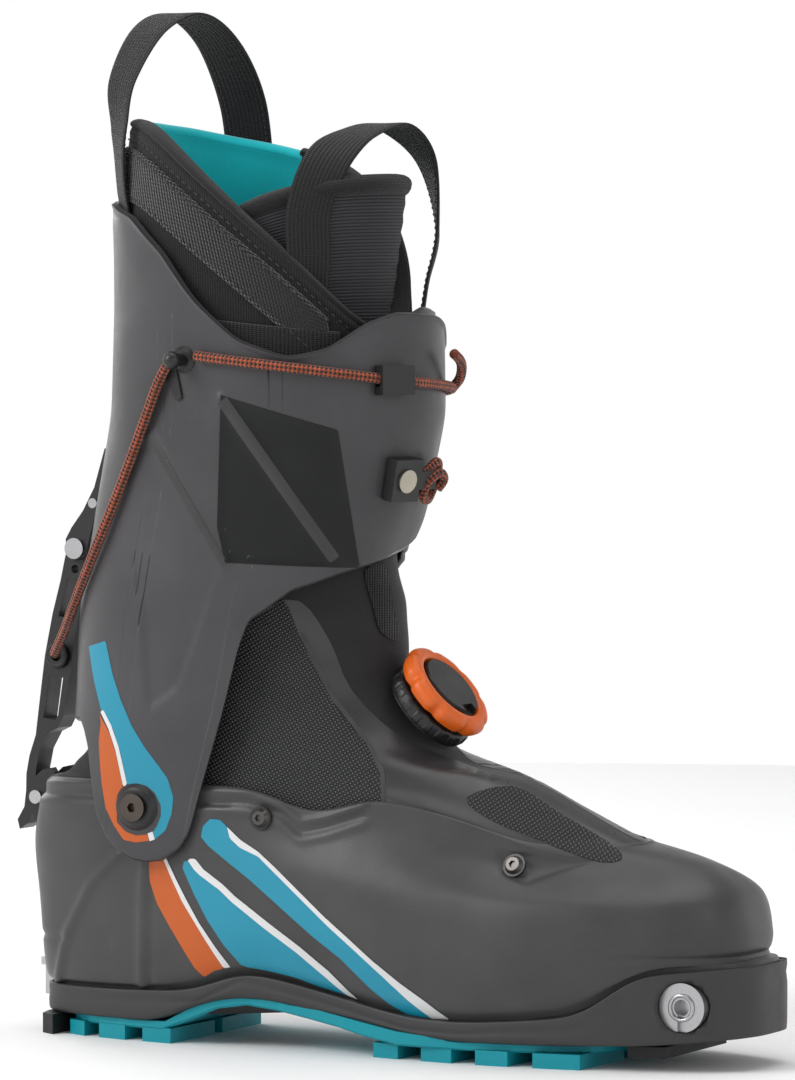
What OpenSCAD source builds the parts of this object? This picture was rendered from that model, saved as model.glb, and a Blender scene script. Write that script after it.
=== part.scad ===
// Alpine touring boot, right foot, size 27. Millimetres, +X to the toe, -Y to the outer (lateral) side, +Z up.
// The origin is on the ground, under the middle of the boot's bounding box.

/* [Sole] */
// Boot sole length, heel edge to toe edge
sole_len = 297; // [290:1:304]
// Half width of the sole at the ball of the foot
sole_w = 46.8; // [44:0.2:49]
// Height of the tread lugs
lug_h = 5; // [4.6:0.1:5.4]

/* [Lower shell] */
// Wall thickness of the lower shell
shell_t = 2.4; // [2:0.1:3]
// Half width of the lower shell at its widest
shell_w = 51.2; // [49:0.2:53]

/* [Cuff] */
// Wall thickness of the cuff
cuff_t = 2.4; // [1.8:0.1:2.6]
// Outer half width of the cuff at the ankle
ankle_w = 47.6; // [47.2:0.1:48.4]

/* [Ankle pivot] */
// Radius of the pivot bolt's shank
bolt_r = 4; // [3:0.5:4]
// Outer radius of the pivot bush
bush_r = 6; // [5.5:0.5:7]

/* [Closure] */
// Diameter of the cuff cord
cord_d = 4; // [3:0.5:4.5]
// Radius of the lace dial's grip
dial_r = 20; // [17:0.5:21]

/* [Binding fittings] */
// Radius of the toe fitting's pin socket
toe_socket_r = 3; // [2.5:0.1:3.2]
// Distance between the two toe sockets' outer faces
toe_socket_span = 62; // [60:0.5:64]

/* [Hidden] */
NA = 56;                 // points round a ring
HX = 138;                // heel edge to origin
PIV = [57, 0, 90];       // ankle axis, from the heel edge
LTOP = [8.4, 0, 184.5];  // lever's upper pivot
LPIN = [-8.6, 0, 88.5]; // heel latch pin
DIAL = [154.5, 0, 126.5];  // foot of the dial on the instep
DTILT = 49.3;            // dial axis from vertical, towards the toe
$fn = 48;

// ---- rings and skins ----------------------------------------------------------------
function yshape(t, s, w, k, e, m) = sign(s) * w * (1 + k * t) * (1 - m * exp(-pow((t + 0.15) / 0.35, 2))) * pow(abs(s), t < -0.6 && e < 0.8 ? max(0.5, e - 0.4 * (-0.6 - t)) : e);
// A ring round the foot: rear x, front x, half width, taper, squareness, waist, toe curve, height table along x
function ring(p) = [for (i = [0:NA-1]) let (a = 360 * (i + 0.5) / NA, t = cos(a), s = sin(a), x = (p[0] + p[1]) / 2 + (p[1] - p[0]) / 2 * t)
  [x, yshape(t, s, p[2], p[3], p[4], p[5]) + p[6] * pow(max(t, 0), 2), lookup(x, p[7])]];
// The same ring moved inwards by d and up by dz
function inset(r, d, dz = 0) = let (n = len(r)) [for (i = [0:n-1]) let (a = r[(i + n - 1) % n], b = r[(i + 1) % n], tx = b[0] - a[0], ty = b[1] - a[1], l = norm([tx, ty]))
  [r[i][0] - d * ty / l, r[i][1] + d * tx / l, r[i][2] + dz]];
function at_z(r, zt, dz = 0) = [for (p = r) [p[0], p[1], lookup(p[0], zt) + dz]];
function flat(l) = [for (a = l) for (b = a) b];
function quad(a, b, c, d) = [[a, b, c], [a, c, d]];
// Faces of a stack of m rings of n points, closed with a cap at both ends
function stack_faces(m, n) = concat(
  flat([for (r = [0:m-2], i = [0:n-1]) let (j = (i + 1) % n) quad(r * n + i, (r + 1) * n + i, (r + 1) * n + j, r * n + j)]),
  flat([for (i = [0:n/2-2]) quad(i, i + 1, n - 2 - i, n - 1 - i)]),
  flat([for (i = [0:n/2-2]) let (o = (m - 1) * n) quad(o + n - 1 - i, o + n - 2 - i, o + i + 1, o + i)]));
// Faces of a stack of m rings of n points that closes on itself
function loop_faces(m, n) = flat([for (r = [0:m-1], i = [0:n-1]) let (j = (i + 1) % n, q = (r + 1) % m) quad(r * n + i, q * n + i, q * n + j, r * n + j)]);
module skin(rings) polyhedron(points = flat(rings), faces = stack_faces(len(rings), len(rings[0])), convexity = 10);
module skin_loop(rings) polyhedron(points = flat(rings), faces = loop_faces(len(rings), len(rings[0])), convexity = 10);
// A wall open at top and bottom, from its outer rings and inner rings, bottom first
module wall(outer, inner) skin_loop([for (i = [0:len(outer[0])-1]) concat([for (r = outer) r[i]], [for (k = [len(inner)-1:-1:0]) inner[k][i]])]);
// A tube of round section along points
function unit(v) = v / max(norm(v), 1e-9);
function tube_ring(p, t, ref, ra, rb, n) = let (u = unit(cross(t, ref)), v = cross(u, t)) [for (i = [0:n-1]) let (a = 360 * (i + 0.5) / n) p + u * ra * cos(a) + v * rb * sin(a)];
function tangents(P) = let (n = len(P)) [for (i = [0:n-1]) unit(P[min(i + 1, n - 1)] - P[max(i - 1, 0)])];
module tube(P, r, ref = [0, 0, 1], n = 8) let (T = tangents(P)) skin([for (i = [0:len(P)-1]) tube_ring(P[i], T[i], ref, r, r, n)]);
// Points of a smooth line through the given ones
function cr(a, b, c, d, u) = 0.5 * ((2 * b) + (c - a) * u + (2 * a - 5 * b + 4 * c - d) * u * u + (3 * b - a - 3 * c + d) * u * u * u);
function smooth(P, k) = let (n = len(P)) concat([for (i = [0:n-2], j = [0:k-1]) cr(P[max(i - 1, 0)], P[i], P[i + 1], P[min(i + 2, n - 1)], j / k)], [P[n - 1]]);
module boot() translate([-HX, 0, 0]) children();
// Lies along Y at (x, z), from y0 to y1
module bar(x, z, y0, y1, r) translate([x, y1, z]) rotate([90, 0, 0]) cylinder(r = r, h = y1 - y0);
module hexbar(x, z, y0, y1, r) translate([x, y1, z]) rotate([90, 0, 0]) cylinder(r = r, h = y1 - y0, $fn = 6);
module sides() { children(); mirror([0, 1, 0]) children(); }

// ---- sole and lower shell ------------------------------------------------------------
ZFT = [[0, 19], [45, 19.5], [78, 21], [97, 30], [135, 22.5], [168, 16], [190, 15.5], [238, 19.5], [257, 34.5], [297, 38]]; // top of the frame
ZFB = [[0, 8], [62, 8], [80, 17], [100, 20], [140, 13.5], [168, 9], [190, 8], [235, 8.5], [262, 10], [297, 13]];           // its underside
ZSB = [[0, 12], [62, 12.5], [80, 19.8], [97, 23.5], [140, 17], [180, 12], [235, 12], [262, 13.5], [297, 17]];                           // shell floor
TRAY = ring([0, sole_len, sole_w, 0.05, 0.65, 0.16, 1.5, ZFT]);
O = [
  at_z(inset(TRAY, 2.9), ZSB),
  at_z(inset(TRAY, 2.9), ZFT, 0.3),
  ring([-1.5, 290, 48.5, 0.08, 0.67, 0.12, 1.5, [[-1.5, 24], [60, 25], [97, 35], [135, 28], [190, 22], [238, 27], [262, 39], [290, 40]]]),
  ring([-4.4, 290.5, shell_w, 0.12, 0.68, 0.05, 1.5, [[-4.4, 52], [100, 48], [190, 40], [262, 47], [290, 49]]]),
  ring([-6, 286, shell_w - 2.2, 0.08, 0.66, 0.02, 1.5, [[-6, 73], [100, 70], [190, 60], [255, 61], [286, 64]]]),
  ring([-3, 270, 42.6, -0.22, 0.73, 0, 1.5, [[-3, 88], [102, 88], [123, 80], [152, 84], [211, 72], [250, 73.5], [270, 74]]]),
  ring([0, 246, 41.8, -0.14, 0.79, 0, 1.5, [[0, 97], [40, 98], [102, 98], [116, 94], [124, 88], [134, 90], [152, 96], [180, 90], [211, 80], [246, 80]]])];
SHELL_IN = [inset(O[0], shell_t, shell_t), inset(O[1], shell_t, 0.5), inset(O[2], shell_t, 0.3), inset(O[3], shell_t), inset(O[4], shell_t, -1), inset(O[5], shell_t, -1.6), inset(O[6], shell_t)];
module lower_shell() color("dimgray") boot() difference() {
  skin(concat(O, [for (k = [6:-1:0]) SHELL_IN[k]]));
  sides() { bar(PIV[0], PIV[2], -60, -30, 5.5); bar(PIV[0], PIV[2], -38.3, -30, 8.3); }
  sides() for (k = [0:1]) at_screw(k) { translate([0, 0, -8]) cylinder(r = 2.1, h = 30); translate([0, 0, 0.05]) cylinder(r = 4.7, h = 12); }
  sides() bar(274, 24, -60, -23.8, 9.3);
  translate([-6, -15.2, 12.8]) cube([8.6, 30.4, 14.9]);
}
module frame_body() skin([at_z(inset(TRAY, 1.5), ZFB), at_z(TRAY, ZFB, 2), at_z(TRAY, ZFT, -0.6), at_z(inset(TRAY, 0.6), ZFT), at_z(inset(TRAY, 2.5), ZFT, -0.2), at_z(inset(TRAY, 2.6), ZSB, -0.4)]);
module sole_frame() color([0.28, 0.27, 0.26]) boot() difference() {
  frame_body();
  sides() bar(274, 24, -60, -23.8, 9.3);
  translate([-6, -15.2, 12.8]) cube([13, 30.4, 14.9]);
}
LUGX = [[13.5, 25], [29, 45], [50, 66], [150, 164], [171, 187], [194, 210], [217, 238]];
function solew(x) = let (t = (x - sole_len / 2) / (sole_len / 2)) abs(yshape(t, sqrt(max(0.01, 1 - t * t)), sole_w, 0.05, 0.65, 0.16));
ZO = [[6, 5], [66, 5], [80, 13.5], [100, 16.5], [140, 10], [160, 5.5], [190, 5], [238, 5], [250, 6]];
OUTS = ring([11.2, 250, 44.6, 0.08, 0.6, 0.16, 0, ZO]);
module outsole() color("darkcyan") boot() difference() {
  union() {
  skin([inset(at_z(OUTS, ZO), 1), at_z(OUTS, ZO, 0.8), at_z(OUTS, ZFB, 1)]);
  for (s = LUGX) let (a = solew(s[0]) - 2.5, b = solew(s[1]) - 2.5, h = lug_h + 0.6) sides() linear_extrude(h) polygon([[s[0], -3], [s[0] + 2, -min(a, 44)], [s[1] - 1, -min(b, 44)], [s[1], -3]]);
  }
  translate([0, 0, -0.02]) frame_body();
}
module heel_pad() color([0.2, 0.2, 0.2]) boot() linear_extrude(7.6) polygon([[1.8, -18], [4.2, -27], [10.8, -31], [10.8, 31], [4.2, 27], [1.8, 18]]);
module toe_pad() color([0.2, 0.2, 0.2]) boot() translate([0, 0, 4.5]) linear_extrude(4.2) polygon([[252, -30], [266, -27], [266, 27], [252, 30]]);
module toe_fitting() translate([274, 0, 24]) rotate([90, 0, 0]) difference() {
  translate([0, 0, 24]) cylinder(r = 9, h = toe_socket_span / 2 - 24);
  translate([0, 0, toe_socket_span / 2 - 5]) cylinder(r = toe_socket_r, h = 8);
  translate([-1.6, -12, toe_socket_span / 2 - 1.6]) cube([3.2, 10, 4]);
}
module toe_fitting_lateral() color("silver") boot() toe_fitting();
module toe_fitting_medial() color("silver") boot() mirror([0, 1, 0]) toe_fitting();
module heel_fitting() color("silver") boot() difference() {
  translate([-3.4, -15, 13]) cube([5.7, 30, 14.5]);
  sides() translate([-5, -15.1, 12]) cube([6, 3.4, 12.5]);
  translate([-5, 0, 20]) rotate([0, 90, 0]) cylinder(r = 2.6, h = 12);
}
module heel_fitting_screw() color("dimgray") boot() difference() {
  union() { translate([-3.5, 0, 20]) rotate([0, 90, 0]) cylinder(r = 2.55, h = 5.7); translate([-5, 0, 20]) rotate([0, 90, 0]) cylinder(r = 4.2, h = 1.58); }
  translate([-5.2, 0, 20]) rotate([0, 90, 0]) cylinder(r = 1.6, h = 1.4, $fn = 6);
}

// ---- ankle pivot ---------------------------------------------------------------------
module pivot_bolt() difference() {
  union() { bar(PIV[0], PIV[2], -50.2, -40.6, bolt_r); bar(PIV[0], PIV[2], -51.6, -50.0, 5.2); }
  hexbar(PIV[0], PIV[2], -52, -49.4, 1.9);
}
module pivot_bolts() color([0.3, 0.28, 0.26]) boot() sides() pivot_bolt();
module pivot_washers() color([0.12, 0.12, 0.12]) boot() sides() difference() {
  translate([PIV[0], 0, PIV[2]]) rotate([90, 0, 0]) union() { translate([0, 0, ankle_w + 0.2]) cylinder(r1 = 8.8, r2 = 7.6, h = 1.4); translate([0, 0, ankle_w + 1.5]) cylinder(r1 = 7.6, r2 = 6.4, h = 0.8); }
  bar(PIV[0], PIV[2], -60, -40, bolt_r + 0.03);
}
module pivot_bushes() color([0.55, 0.42, 0.2]) boot() sides() difference() {
  bar(PIV[0], PIV[2], -ankle_w, -ankle_w + cuff_t + 0.4, bush_r);
  bar(PIV[0], PIV[2], -60, -40, bolt_r + 0.05);
}
module pivot_nuts() color([0.45, 0.45, 0.45]) boot() sides() difference() {
  union() { bar(PIV[0], PIV[2], -43.6, -37.6, 5.45); bar(PIV[0], PIV[2], -38.1, -37, 8); }
  bar(PIV[0], PIV[2], -60, -40.5, bolt_r);
}

// ---- heel latch ----------------------------------------------------------------------
// Two ears on a band that wraps the heel, joined by the latch pin
module heel_bracket() color([0.24, 0.24, 0.24]) boot() difference() {
  sides() translate([0, -6.4, 0]) rotate([90, 0, 0]) linear_extrude(3) polygon([[-5.9, 76], [-8, 78], [-11.4, 83], [-12.2, 89], [-10.6, 95], [-6, 99], [-1.6, 100], [-0.5, 98.4], [-0.6, 96.8], [-3.4, 88], [-5.2, 79]]);
  bar(LPIN[0], LPIN[2], -20, 20, 2);
}
module latch_pin() color("silver") boot() union() { bar(LPIN[0], LPIN[2], -9.6, 9.6, 1.98); sides() bar(LPIN[0], LPIN[2], -10.6, -9.4, 2.6); }

// ---- gaiter --------------------------------------------------------------------------
function mix(a, b, k) = [for (i = [0:len(a)-1]) a[i] * (1 - k) + b[i] * k];
G = [
  inset(mix(O[5], O[6], 0.35), 2.75, -1.5), inset(O[6], 2.75, 0.3),
  ring([5, 220, 37.6, -0.18, 0.86, 0, 1, [[5, 99.5], [100, 103], [150, 101], [190, 95], [220, 90.5]]]),
  ring([8, 196, 37.2, -0.14, 0.9, 0, 1, [[8, 103], [90, 110], [150, 108], [196, 101.5]]]),
  ring([11.4, 168, 37, -0.06, 0.92, 0, 0, [[11.4, 106], [85, 117], [140, 116], [168, 109.5]]]),
  ring([14, 147.5, 37, 0, 0.94, 0, 0, [[14, 109], [80, 124], [147.5, 131]]]),
  ring([16.8, 144, 37, 0, 0.94, 0, 0, [[16.8, 112], [75, 130], [144, 150]]])];
C = [inset(G[6], 0, 0.4),
  ring([21, 143, 37.5, 0, 0.95, 0, 0, [[21, 134], [75, 150], [143, 168]]]),
  ring([20, 137.4, 41.4, 0, 0.96, 0, 0, [[20, 166], [75, 178], [137.4, 190]]]),
  ring([24.6, 143, 44.4, 0, 0.96, 0, 0, [[24.6, 200], [75, 206], [143, 214]]])];
module gaiter_vamp() color([0.2, 0.2, 0.21]) boot() difference() {
  wall(G, [for (r = G) inset(r, 1.2, -0.2)]);
  sides() bar(PIV[0], PIV[2], -60, -30, 8.3);
  translate(DIAL) rotate([0, DTILT, 0]) { cylinder(r = 8, h = 60, center = true); translate([0, 0, -0.03]) cylinder(r = 17.7, h = 12); }
  sides() for (k = [0:1]) at_screw(k) translate([0, 0, -8]) cylinder(r = 2.2, h = 20);
}
module gaiter_collar() color([0.16, 0.16, 0.17]) boot() wall(C, [for (r = C) inset(r, 1.2)]);
module gaiter_velcro() color([0.05, 0.05, 0.05]) boot() skin([for (k = [0:2]) let (r = inset(C[k], -0.15, k == 0 ? 2 : 0), q = inset(C[k], -1.3, k == 0 ? 2 : 0)) [r[50], r[51], r[52], r[53], q[53], q[52], q[51], q[50]]]);
SCR = [[108, -43.6, 87.5, 4], [208, -33.4, 73, 24]];   // position on the wall and lean of the front and rear pairs
module at_screw(k) translate([SCR[k][0], SCR[k][1], SCR[k][2]]) rotate([90 - SCR[k][3], 0, 0]) children();
module gaiter_screws() color([0.3, 0.3, 0.3]) boot() sides() for (k = [0:1]) at_screw(k) difference() {
  union() { translate([0, 0, -4.4]) cylinder(r = 2, h = 6); translate([0, 0, 1.1]) cylinder(r1 = 3.6, r2 = 2.6, h = 1.6); }
  translate([0, 0, 1.7]) cylinder(r = 1.4, h = 2, $fn = 6);
}
module gaiter_washers() color([0.15, 0.15, 0.15]) boot() sides() for (k = [0:1]) at_screw(k) difference() { translate([0, 0, 0.1]) cylinder(r = 4.4, h = 1); translate([0, 0, -1]) cylinder(r = 2.08, h = 4); }

// ---- lace and dial -------------------------------------------------------------------
module dial_at() translate(DIAL) rotate([0, DTILT, 0]) children();
module dial_base() color([0.08, 0.08, 0.09]) boot() dial_at() difference() {
  union() { cylinder(r = 17.5, h = 1.6); translate([0, 0, 1.5]) cylinder(r1 = 16, r2 = 14.4, h = 4); translate([0, 0, -2.6]) cylinder(r = 7.8, h = 3); }
  translate([0, 0, 1.2]) cylinder(r = 11, h = 6);
  translate([0, 0, -4]) cylinder(r = 2.04, h = 8);
  sides() translate([-1, -18, 2.6]) cube([2, 9, 1.6]);
}
module dial_spool() color([0.7, 0.7, 0.7]) boot() dial_at() difference() {
  union() { translate([0, 0, 1.4]) cylinder(r = 10.6, h = 0.8); translate([0, 0, 2]) cylinder(r = 7, h = 2.6); translate([0, 0, 4.4]) cylinder(r = 10.6, h = 0.8); }
  translate([0, 0, 0]) cylinder(r = 2.05, h = 8);
}
module dial_ratchet() color([0.5, 0.5, 0.52]) boot() dial_at() difference() { translate([0, 0, 5.8]) cylinder(r = 12, h = 1.4); translate([0, 0, 5]) cylinder(r = 2.05, h = 4); for (i = [0:11]) rotate([0, 0, 30 * i]) translate([12, 0, 5]) cylinder(r = 1.3, h = 4); }
module dial_axle() color("silver") boot() dial_at() union() { translate([0, 0, -2.4]) cylinder(r = 2, h = 12.6); translate([0, 0, 10.1]) cylinder(r = 3.4, h = 1); }
module dial_grip() color("orangered") boot() dial_at() difference() {
  union() { translate([0, 0, 7.5]) cylinder(r1 = dial_r - 1.5, r2 = dial_r, h = 2.6); translate([0, 0, 10]) cylinder(r1 = dial_r, r2 = dial_r - 2.4, h = 4.6); }
  translate([0, 0, 7]) cylinder(r = 2.05, h = 12);
  translate([0, 0, 9.9]) cylinder(r = 13.5, h = 8);
  for (i = [0:17]) rotate([0, 0, 20 * i]) translate([dial_r + 2.1, 0, 6]) cylinder(r = 2.6, h = 12);
}
module dial_cap() color([0.1, 0.1, 0.11]) boot() dial_at() difference() { translate([0, 0, 11.3]) cylinder(r1 = 13.4, r2 = 12.4, h = 3.6); translate([9, -4, 12.6]) cube([6, 8, 4]); }
LACE = [for (k = [0:4]) inset(G[5 - k], 2.7, -1.4)[NA - 5 - k]];
module dial_lace() color("gainsboro") boot() sides() tube(smooth(LACE, 4), 0.6, [0, 1, 0.2], 8);
module lace_guides() color([0.15, 0.15, 0.15]) boot() sides() let (e = LACE[4], t = unit(LACE[4] - LACE[3])) tube([e + t * 0.3, e + t * 2.8], 1.2, [0, 1, 0.2], 12);

// ---- liner ---------------------------------------------------------------------------
LO = [inset(O[0], 4, 3.4), inset(O[1], 4.4, -0.4), inset(O[2], 4.4, 0.4), inset(O[3], 4), inset(O[4], 4, -2), inset(O[5], 5, -4), inset(G[1], 4, -3), inset(G[2], 4.2, -3), inset(G[3], 4.4, -3.2), inset(G[4], 4.6, -3.2), inset(G[5], 4.8, -3)];
LI = [for (k = [0:10]) inset(LO[k], k < 3 ? 4 : 5.5, k < 1 ? 4 : k < 3 ? 2 : -1)];
module liner_lower() color([0.13, 0.13, 0.14]) boot() difference() {
  skin(concat(LO, [for (k = [10:-1:0]) LI[k]]));
  sides() { bar(274, 24, -60, -23.4, 9.6); bar(PIV[0], PIV[2], -60, -36.8, 8.6); }
}
// Leg tube of the liner: rear x, front x, half width, height at the rear and at the front
function leg(xr, xf, w, zr, zf, e = 0.95) = ring([xr, xf, w, 0, e, 0, 0, [[xr, zr], [xf, zf]]]);
LF = [leg(17, 136, 32, 109.6, 146.5), leg(23.4, 135, 33, 130, 160), leg(25, 134, 37, 149.6, 184.6)];
module liner_flex() color([0.15, 0.15, 0.15]) boot() wall(LF, [for (r = LF) inset(r, 5)]);
LU = [leg(25, 134, 37, 150, 185), leg(28, 138, 41, 185, 210), leg(32, 143, 44, 235, 245), leg(32.5, 143.5, 45, 280, 276), leg(32.5, 142, 45, 318, 306), leg(34, 140.5, 44, 348, 318)];
module liner_upper() color([0.12, 0.12, 0.13]) boot() wall(LU, [for (k = [0:5]) inset(LU[k], k == 5 ? 4.5 : 7, k == 5 ? -1 : 0)]);
module liner_lining() color("darkturquoise") boot() let (r = [for (k = [0:5]) inset(LU[k], k == 5 ? 4.9 : 7.3, k == 5 ? -0.5 : k == 0 ? 2 : 0)]) wall(r, [for (k = [0:5]) inset(r[k], 1.6)]);
// The fleece band that runs down the outer wrap of the liner
function band_pt(i, z, o) = let (k = z > LU[4][i][2] ? 4 : 3, r = inset(LU[k], -o), q = inset(LU[k + 1], -o)) r[i] + (q[i] - r[i]) * (z - r[i][2]) / (q[i][2] - r[i][2]);
module liner_velcro() color([0.08, 0.08, 0.08]) boot() skin([for (i = [30:50]) let (zt = 346 - (i - 30) * 2.6, zb = zt - 18) [band_pt(i, zb, 0.6), band_pt(i, zt, 0.6), band_pt(i, zt, 2), band_pt(i, zb, 2)]]);
module liner_strap() color([0.2, 0.2, 0.2]) boot() wall([leg(30.8, 144.6, 46.2, 262, 258), leg(30.8, 144.6, 46.2, 278, 274)], [leg(31.8, 143.9, 45.4, 262, 258), leg(31.8, 143.9, 45.4, 278, 274)]);
module footbed() color([0.1, 0.35, 0.4]) boot() skin([inset(LI[0], 1.2, 0.2), inset(LI[0], 1.2, 3.2)]);
// Webbing loops: a flat band 18 wide along smooth points
module web(P, across, w, t) let (Q = smooth(P, 5), T = tangents(Q), A = smooth(across, 5)) skin([for (i = [0:len(Q)-1]) let (a = unit(A[i] - T[i] * (A[i] * T[i])), b = cross(T[i], a)) [Q[i] - a * w / 2 - b * t / 2, Q[i] + a * w / 2 - b * t / 2, Q[i] + a * w / 2 + b * t / 2, Q[i] - a * w / 2 + b * t / 2]]);
module rear_loop() color([0.1, 0.1, 0.1]) boot() web([[41.2, -26.5, 298], [41.2, -26.3, 310], [40.6, -28.8, 321], [40, -29.6, 334], [39.4, -28.4, 346], [38.5, -24, 363], [42, -10, 382], [48, 6, 388], [54, 22, 378], [57.5, 36, 355], [58.4, 41.2, 326]],
  [[1, -1.28, 0], [1, -1.28, 0], [1, -1.28, 0], [1, -1.2, 0], [1, -0.9, 0], [1, -0.5, 0], [1, -0.2, 0], [1, 0, 0], [1, 0.1, 0], [1, 0.45, 0], [1, 0.5, 0]], 18, 1.6);
module front_loop() color([0.1, 0.1, 0.1]) boot() web([[127.5, -36.2, 277], [127.5, -36.2, 300], [127.6, -35.4, 320], [128.5, -23, 335], [131, -5, 342.5], [136, 10, 345], [142.6, 24, 330], [146.4, 25.8, 306], [144.2, 21.4, 286], [142.4, 18.5, 266]],
  [[1, 0.8, 0], [1, 0.8, 0], [1, 0.7, 0], [1, 0.4, 0], [1, 0.2, 0], [1, 0, 0], [0.8, -0.6, 0], [0.5, -1, 0], [0.5, -1, 0], [0.55, -1, 0]], 17, 1.6);

// ---- cuff ----------------------------------------------------------------------------
CZ = [60, 92, 129, 164, 185, 202, 237, 275, 316, 330];
function tab(z, v) = lookup(z, [for (i = [0:9]) [CZ[i], v[i]]]);
function crear(z) = tab(z, [6, 9, 11.6, 13.2, 17.6, 20.8, 26.5, 27.5, 27, 27]);
function cfront(z) = tab(z, [106, 114, 128, 138, 143, 149, 157.5, 157, 155, 155]);
function chalf(z) = tab(z, [ankle_w, ankle_w, ankle_w + 0.6, 49, 49.6, 50.4, 52, 53, 52, 52]);
function csq(z) = tab(z, [0.35, 0.35, 0.42, 0.6, 0.75, 0.85, 0.95, 1, 1, 1]);
// A point of the cuff's skin at angle a (0 front, 90 inner side, 180 rear, 270 outer side), height z, moved in by d
function cuffp(a, z, d) = let (c = (crear(z) + cfront(z)) / 2, ra = (cfront(z) - crear(z)) / 2 - d, rb = chalf(z) - d) [c + ra * cos(a), rb * sign(sin(a)) * pow(abs(sin(a)), cos(a) < 0 ? max(csq(z), 0.85) : csq(z)), z];
ZB = [[-25, 203], [0, 193], [28, 181], [48, 173], [63, 161], [65.5, 146], [66, 125], [66.5, 100], [68, 82], [72, 75], [79, 71], [86, 70], [94, 71], [102.5, 74], [108.5, 77.5], [117.4, 87], [123, 98], [129, 111], [134, 117], [141, 122], [150, 121], [180, 118],
  [210, 121], [219, 122], [226, 117], [231, 111], [237, 98], [242.6, 87], [251.5, 77.5], [257.5, 74], [266, 71], [274, 70], [281, 71], [288, 75], [292, 82], [293.5, 100], [294, 125], [294.5, 146], [297, 161], [312, 173], [332, 179], [355, 184], [370, 190], [378, 199], [385, 216]];
ZT = [[-25, 270], [0, 277], [22, 275], [35, 271], [50, 262], [64, 258.5], [81, 265], [97, 280], [111, 298], [128, 311], [150, 316], [180, 317], [210, 316], [232, 311], [249, 298], [263, 280], [279, 265], [296, 258.5], [310, 261.5], [325, 271], [338, 275], [365, 274], [378, 270], [385, 262]];
CA = concat([-25, -17, -9, -1, 7, 15, 23, 31, 39, 47, 55, 62], [64.5, 66, 67.5, 70, 74, 79, 85, 91, 97, 102, 105.5, 107.5, 109, 111, 114, 118], [125, 134, 143, 152, 161, 170, 180, 190, 199, 208, 217, 226, 235],
  [242, 246, 249, 251, 252.5, 254.5, 258, 263, 269, 275, 281, 286, 290, 292.5, 294, 295.5], [298, 305, 313, 321, 329, 337, 345, 353, 361, 369, 376, 381, 385]);
CV = [0, 0.1, 0.22, 0.36, 0.5, 0.64, 0.78, 0.9, 1];
// The inner flap runs under the outer one
function lap(a) = a < 28 ? cuff_t + 0.9 : a > 62 ? 0 : (cuff_t + 0.9) * (1 + cos(180 * (a - 28) / 34)) / 2;
CUFFR = [for (a = CA) let (b = lookup(a, ZB), t = lookup(a, ZT), q = lap(a)) concat([for (v = CV) cuffp(a, b + (t - b) * v, q)], [for (k = [8:-1:0]) cuffp(a, b + (t - b) * CV[k], q + cuff_t)])];
module cuff() color([0.25, 0.25, 0.26]) boot() difference() {
  skin(CUFFR);
  sides() bar(PIV[0], PIV[2], -60, -30, bush_r + 0.02);
}

// ---- cord closure --------------------------------------------------------------------
function onc(a, z, o) = cuffp(a, z, -o);
function cn(a) = unit([cos(a) / 65, sin(a) / 51, 0]);
module on_cuff(a, z) let (p = onc(a, z, 0), n = cn(a)) translate(p) rotate([0, 90 + atan((onc(a, z + 5, 0) - onc(a, z - 5, 0)) * n / 10), atan2(n[1], n[0])]) children();
HOOKS = [[259, 258], [80, 236]];
// Hooks: a ball-headed post that the cord turns round, with a tapered foot
module cord_hooks() color([0.1, 0.1, 0.1]) boot() for (h = HOOKS) on_cuff(h[0], h[1]) difference() {
  union() { translate([0, 0, 0.3]) cylinder(r1 = 5, r2 = 3.6, h = 1.4); cylinder(r = 2.4, h = 7); translate([0, 0, 7.4]) sphere(r = 3.4); }
  translate([0, 0, -6]) cube([30, 30, 12.6], center = true);
  translate([0, 0, -1]) cylinder(r = 1.2, h = 6);
}
module cord_hook_rivets() color("silver") boot() for (h = HOOKS) on_cuff(h[0], h[1]) union() { cylinder(r = 1.18, h = 4.6); translate([0, 0, 0]) cylinder(r = 1.18, h = 1); }
module cord_guides() color([0.14, 0.14, 0.14]) boot() on_cuff(335, 250.5) difference() { translate([0, 0, 3.2]) cube([11, 14, 5.6], center = true); translate([0, 0, 2.4]) rotate([90, 0, 0]) cylinder(r = cr_ + 0.5, h = 30, center = true); }
module cord_anchor() color([0.14, 0.14, 0.14]) boot() on_cuff(346, 214) difference() { union() { translate([-8, -7, 0.4]) cube([16, 14, 5]); translate([-3.5, 6.5, 2.4]) cube([7, 9, 3]); } translate([0, -0.5, -1]) cylinder(r = 2.5, h = 10); }
module anchor_rivet() color("tan") boot() on_cuff(346, 214) translate([0, -0.5, 0]) union() { translate([0, 0, 0.4]) cylinder(r = 2.46, h = 5.4); translate([0, 0, 5.5]) cylinder(r = 4.4, h = 0.9); }
module lever_bracket() color([0.14, 0.14, 0.14]) boot() difference() {
  union() {
    sides() translate([0, -6.1, 0]) rotate([90, 0, 0]) linear_extrude(2.6) polygon([[4.6, 181], [8, 179.8], [12.6, 181.5], [16.2, 194], [19.8, 207], [23, 221], [21.4, 223], [16.8, 208], [11.8, 199], [6.8, 192.5], [4.2, 188]]);
  }
  bar(LTOP[0], LTOP[2], -20, 20, 2.05);
  bar(16.4, 202, -20, 20, 1.1);
}
module bracket_rivets() color("silver") boot() sides() { bar(16.4, 202, -8.7, -6.1, 1.08); bar(16.4, 202, -9.5, -8.7, 1.9); }
module lever_pin() color("silver") boot() union() { bar(LTOP[0], LTOP[2], -8.8, 8.8, 2); sides() bar(LTOP[0], LTOP[2], -10, -8.7, 4); }

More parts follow.
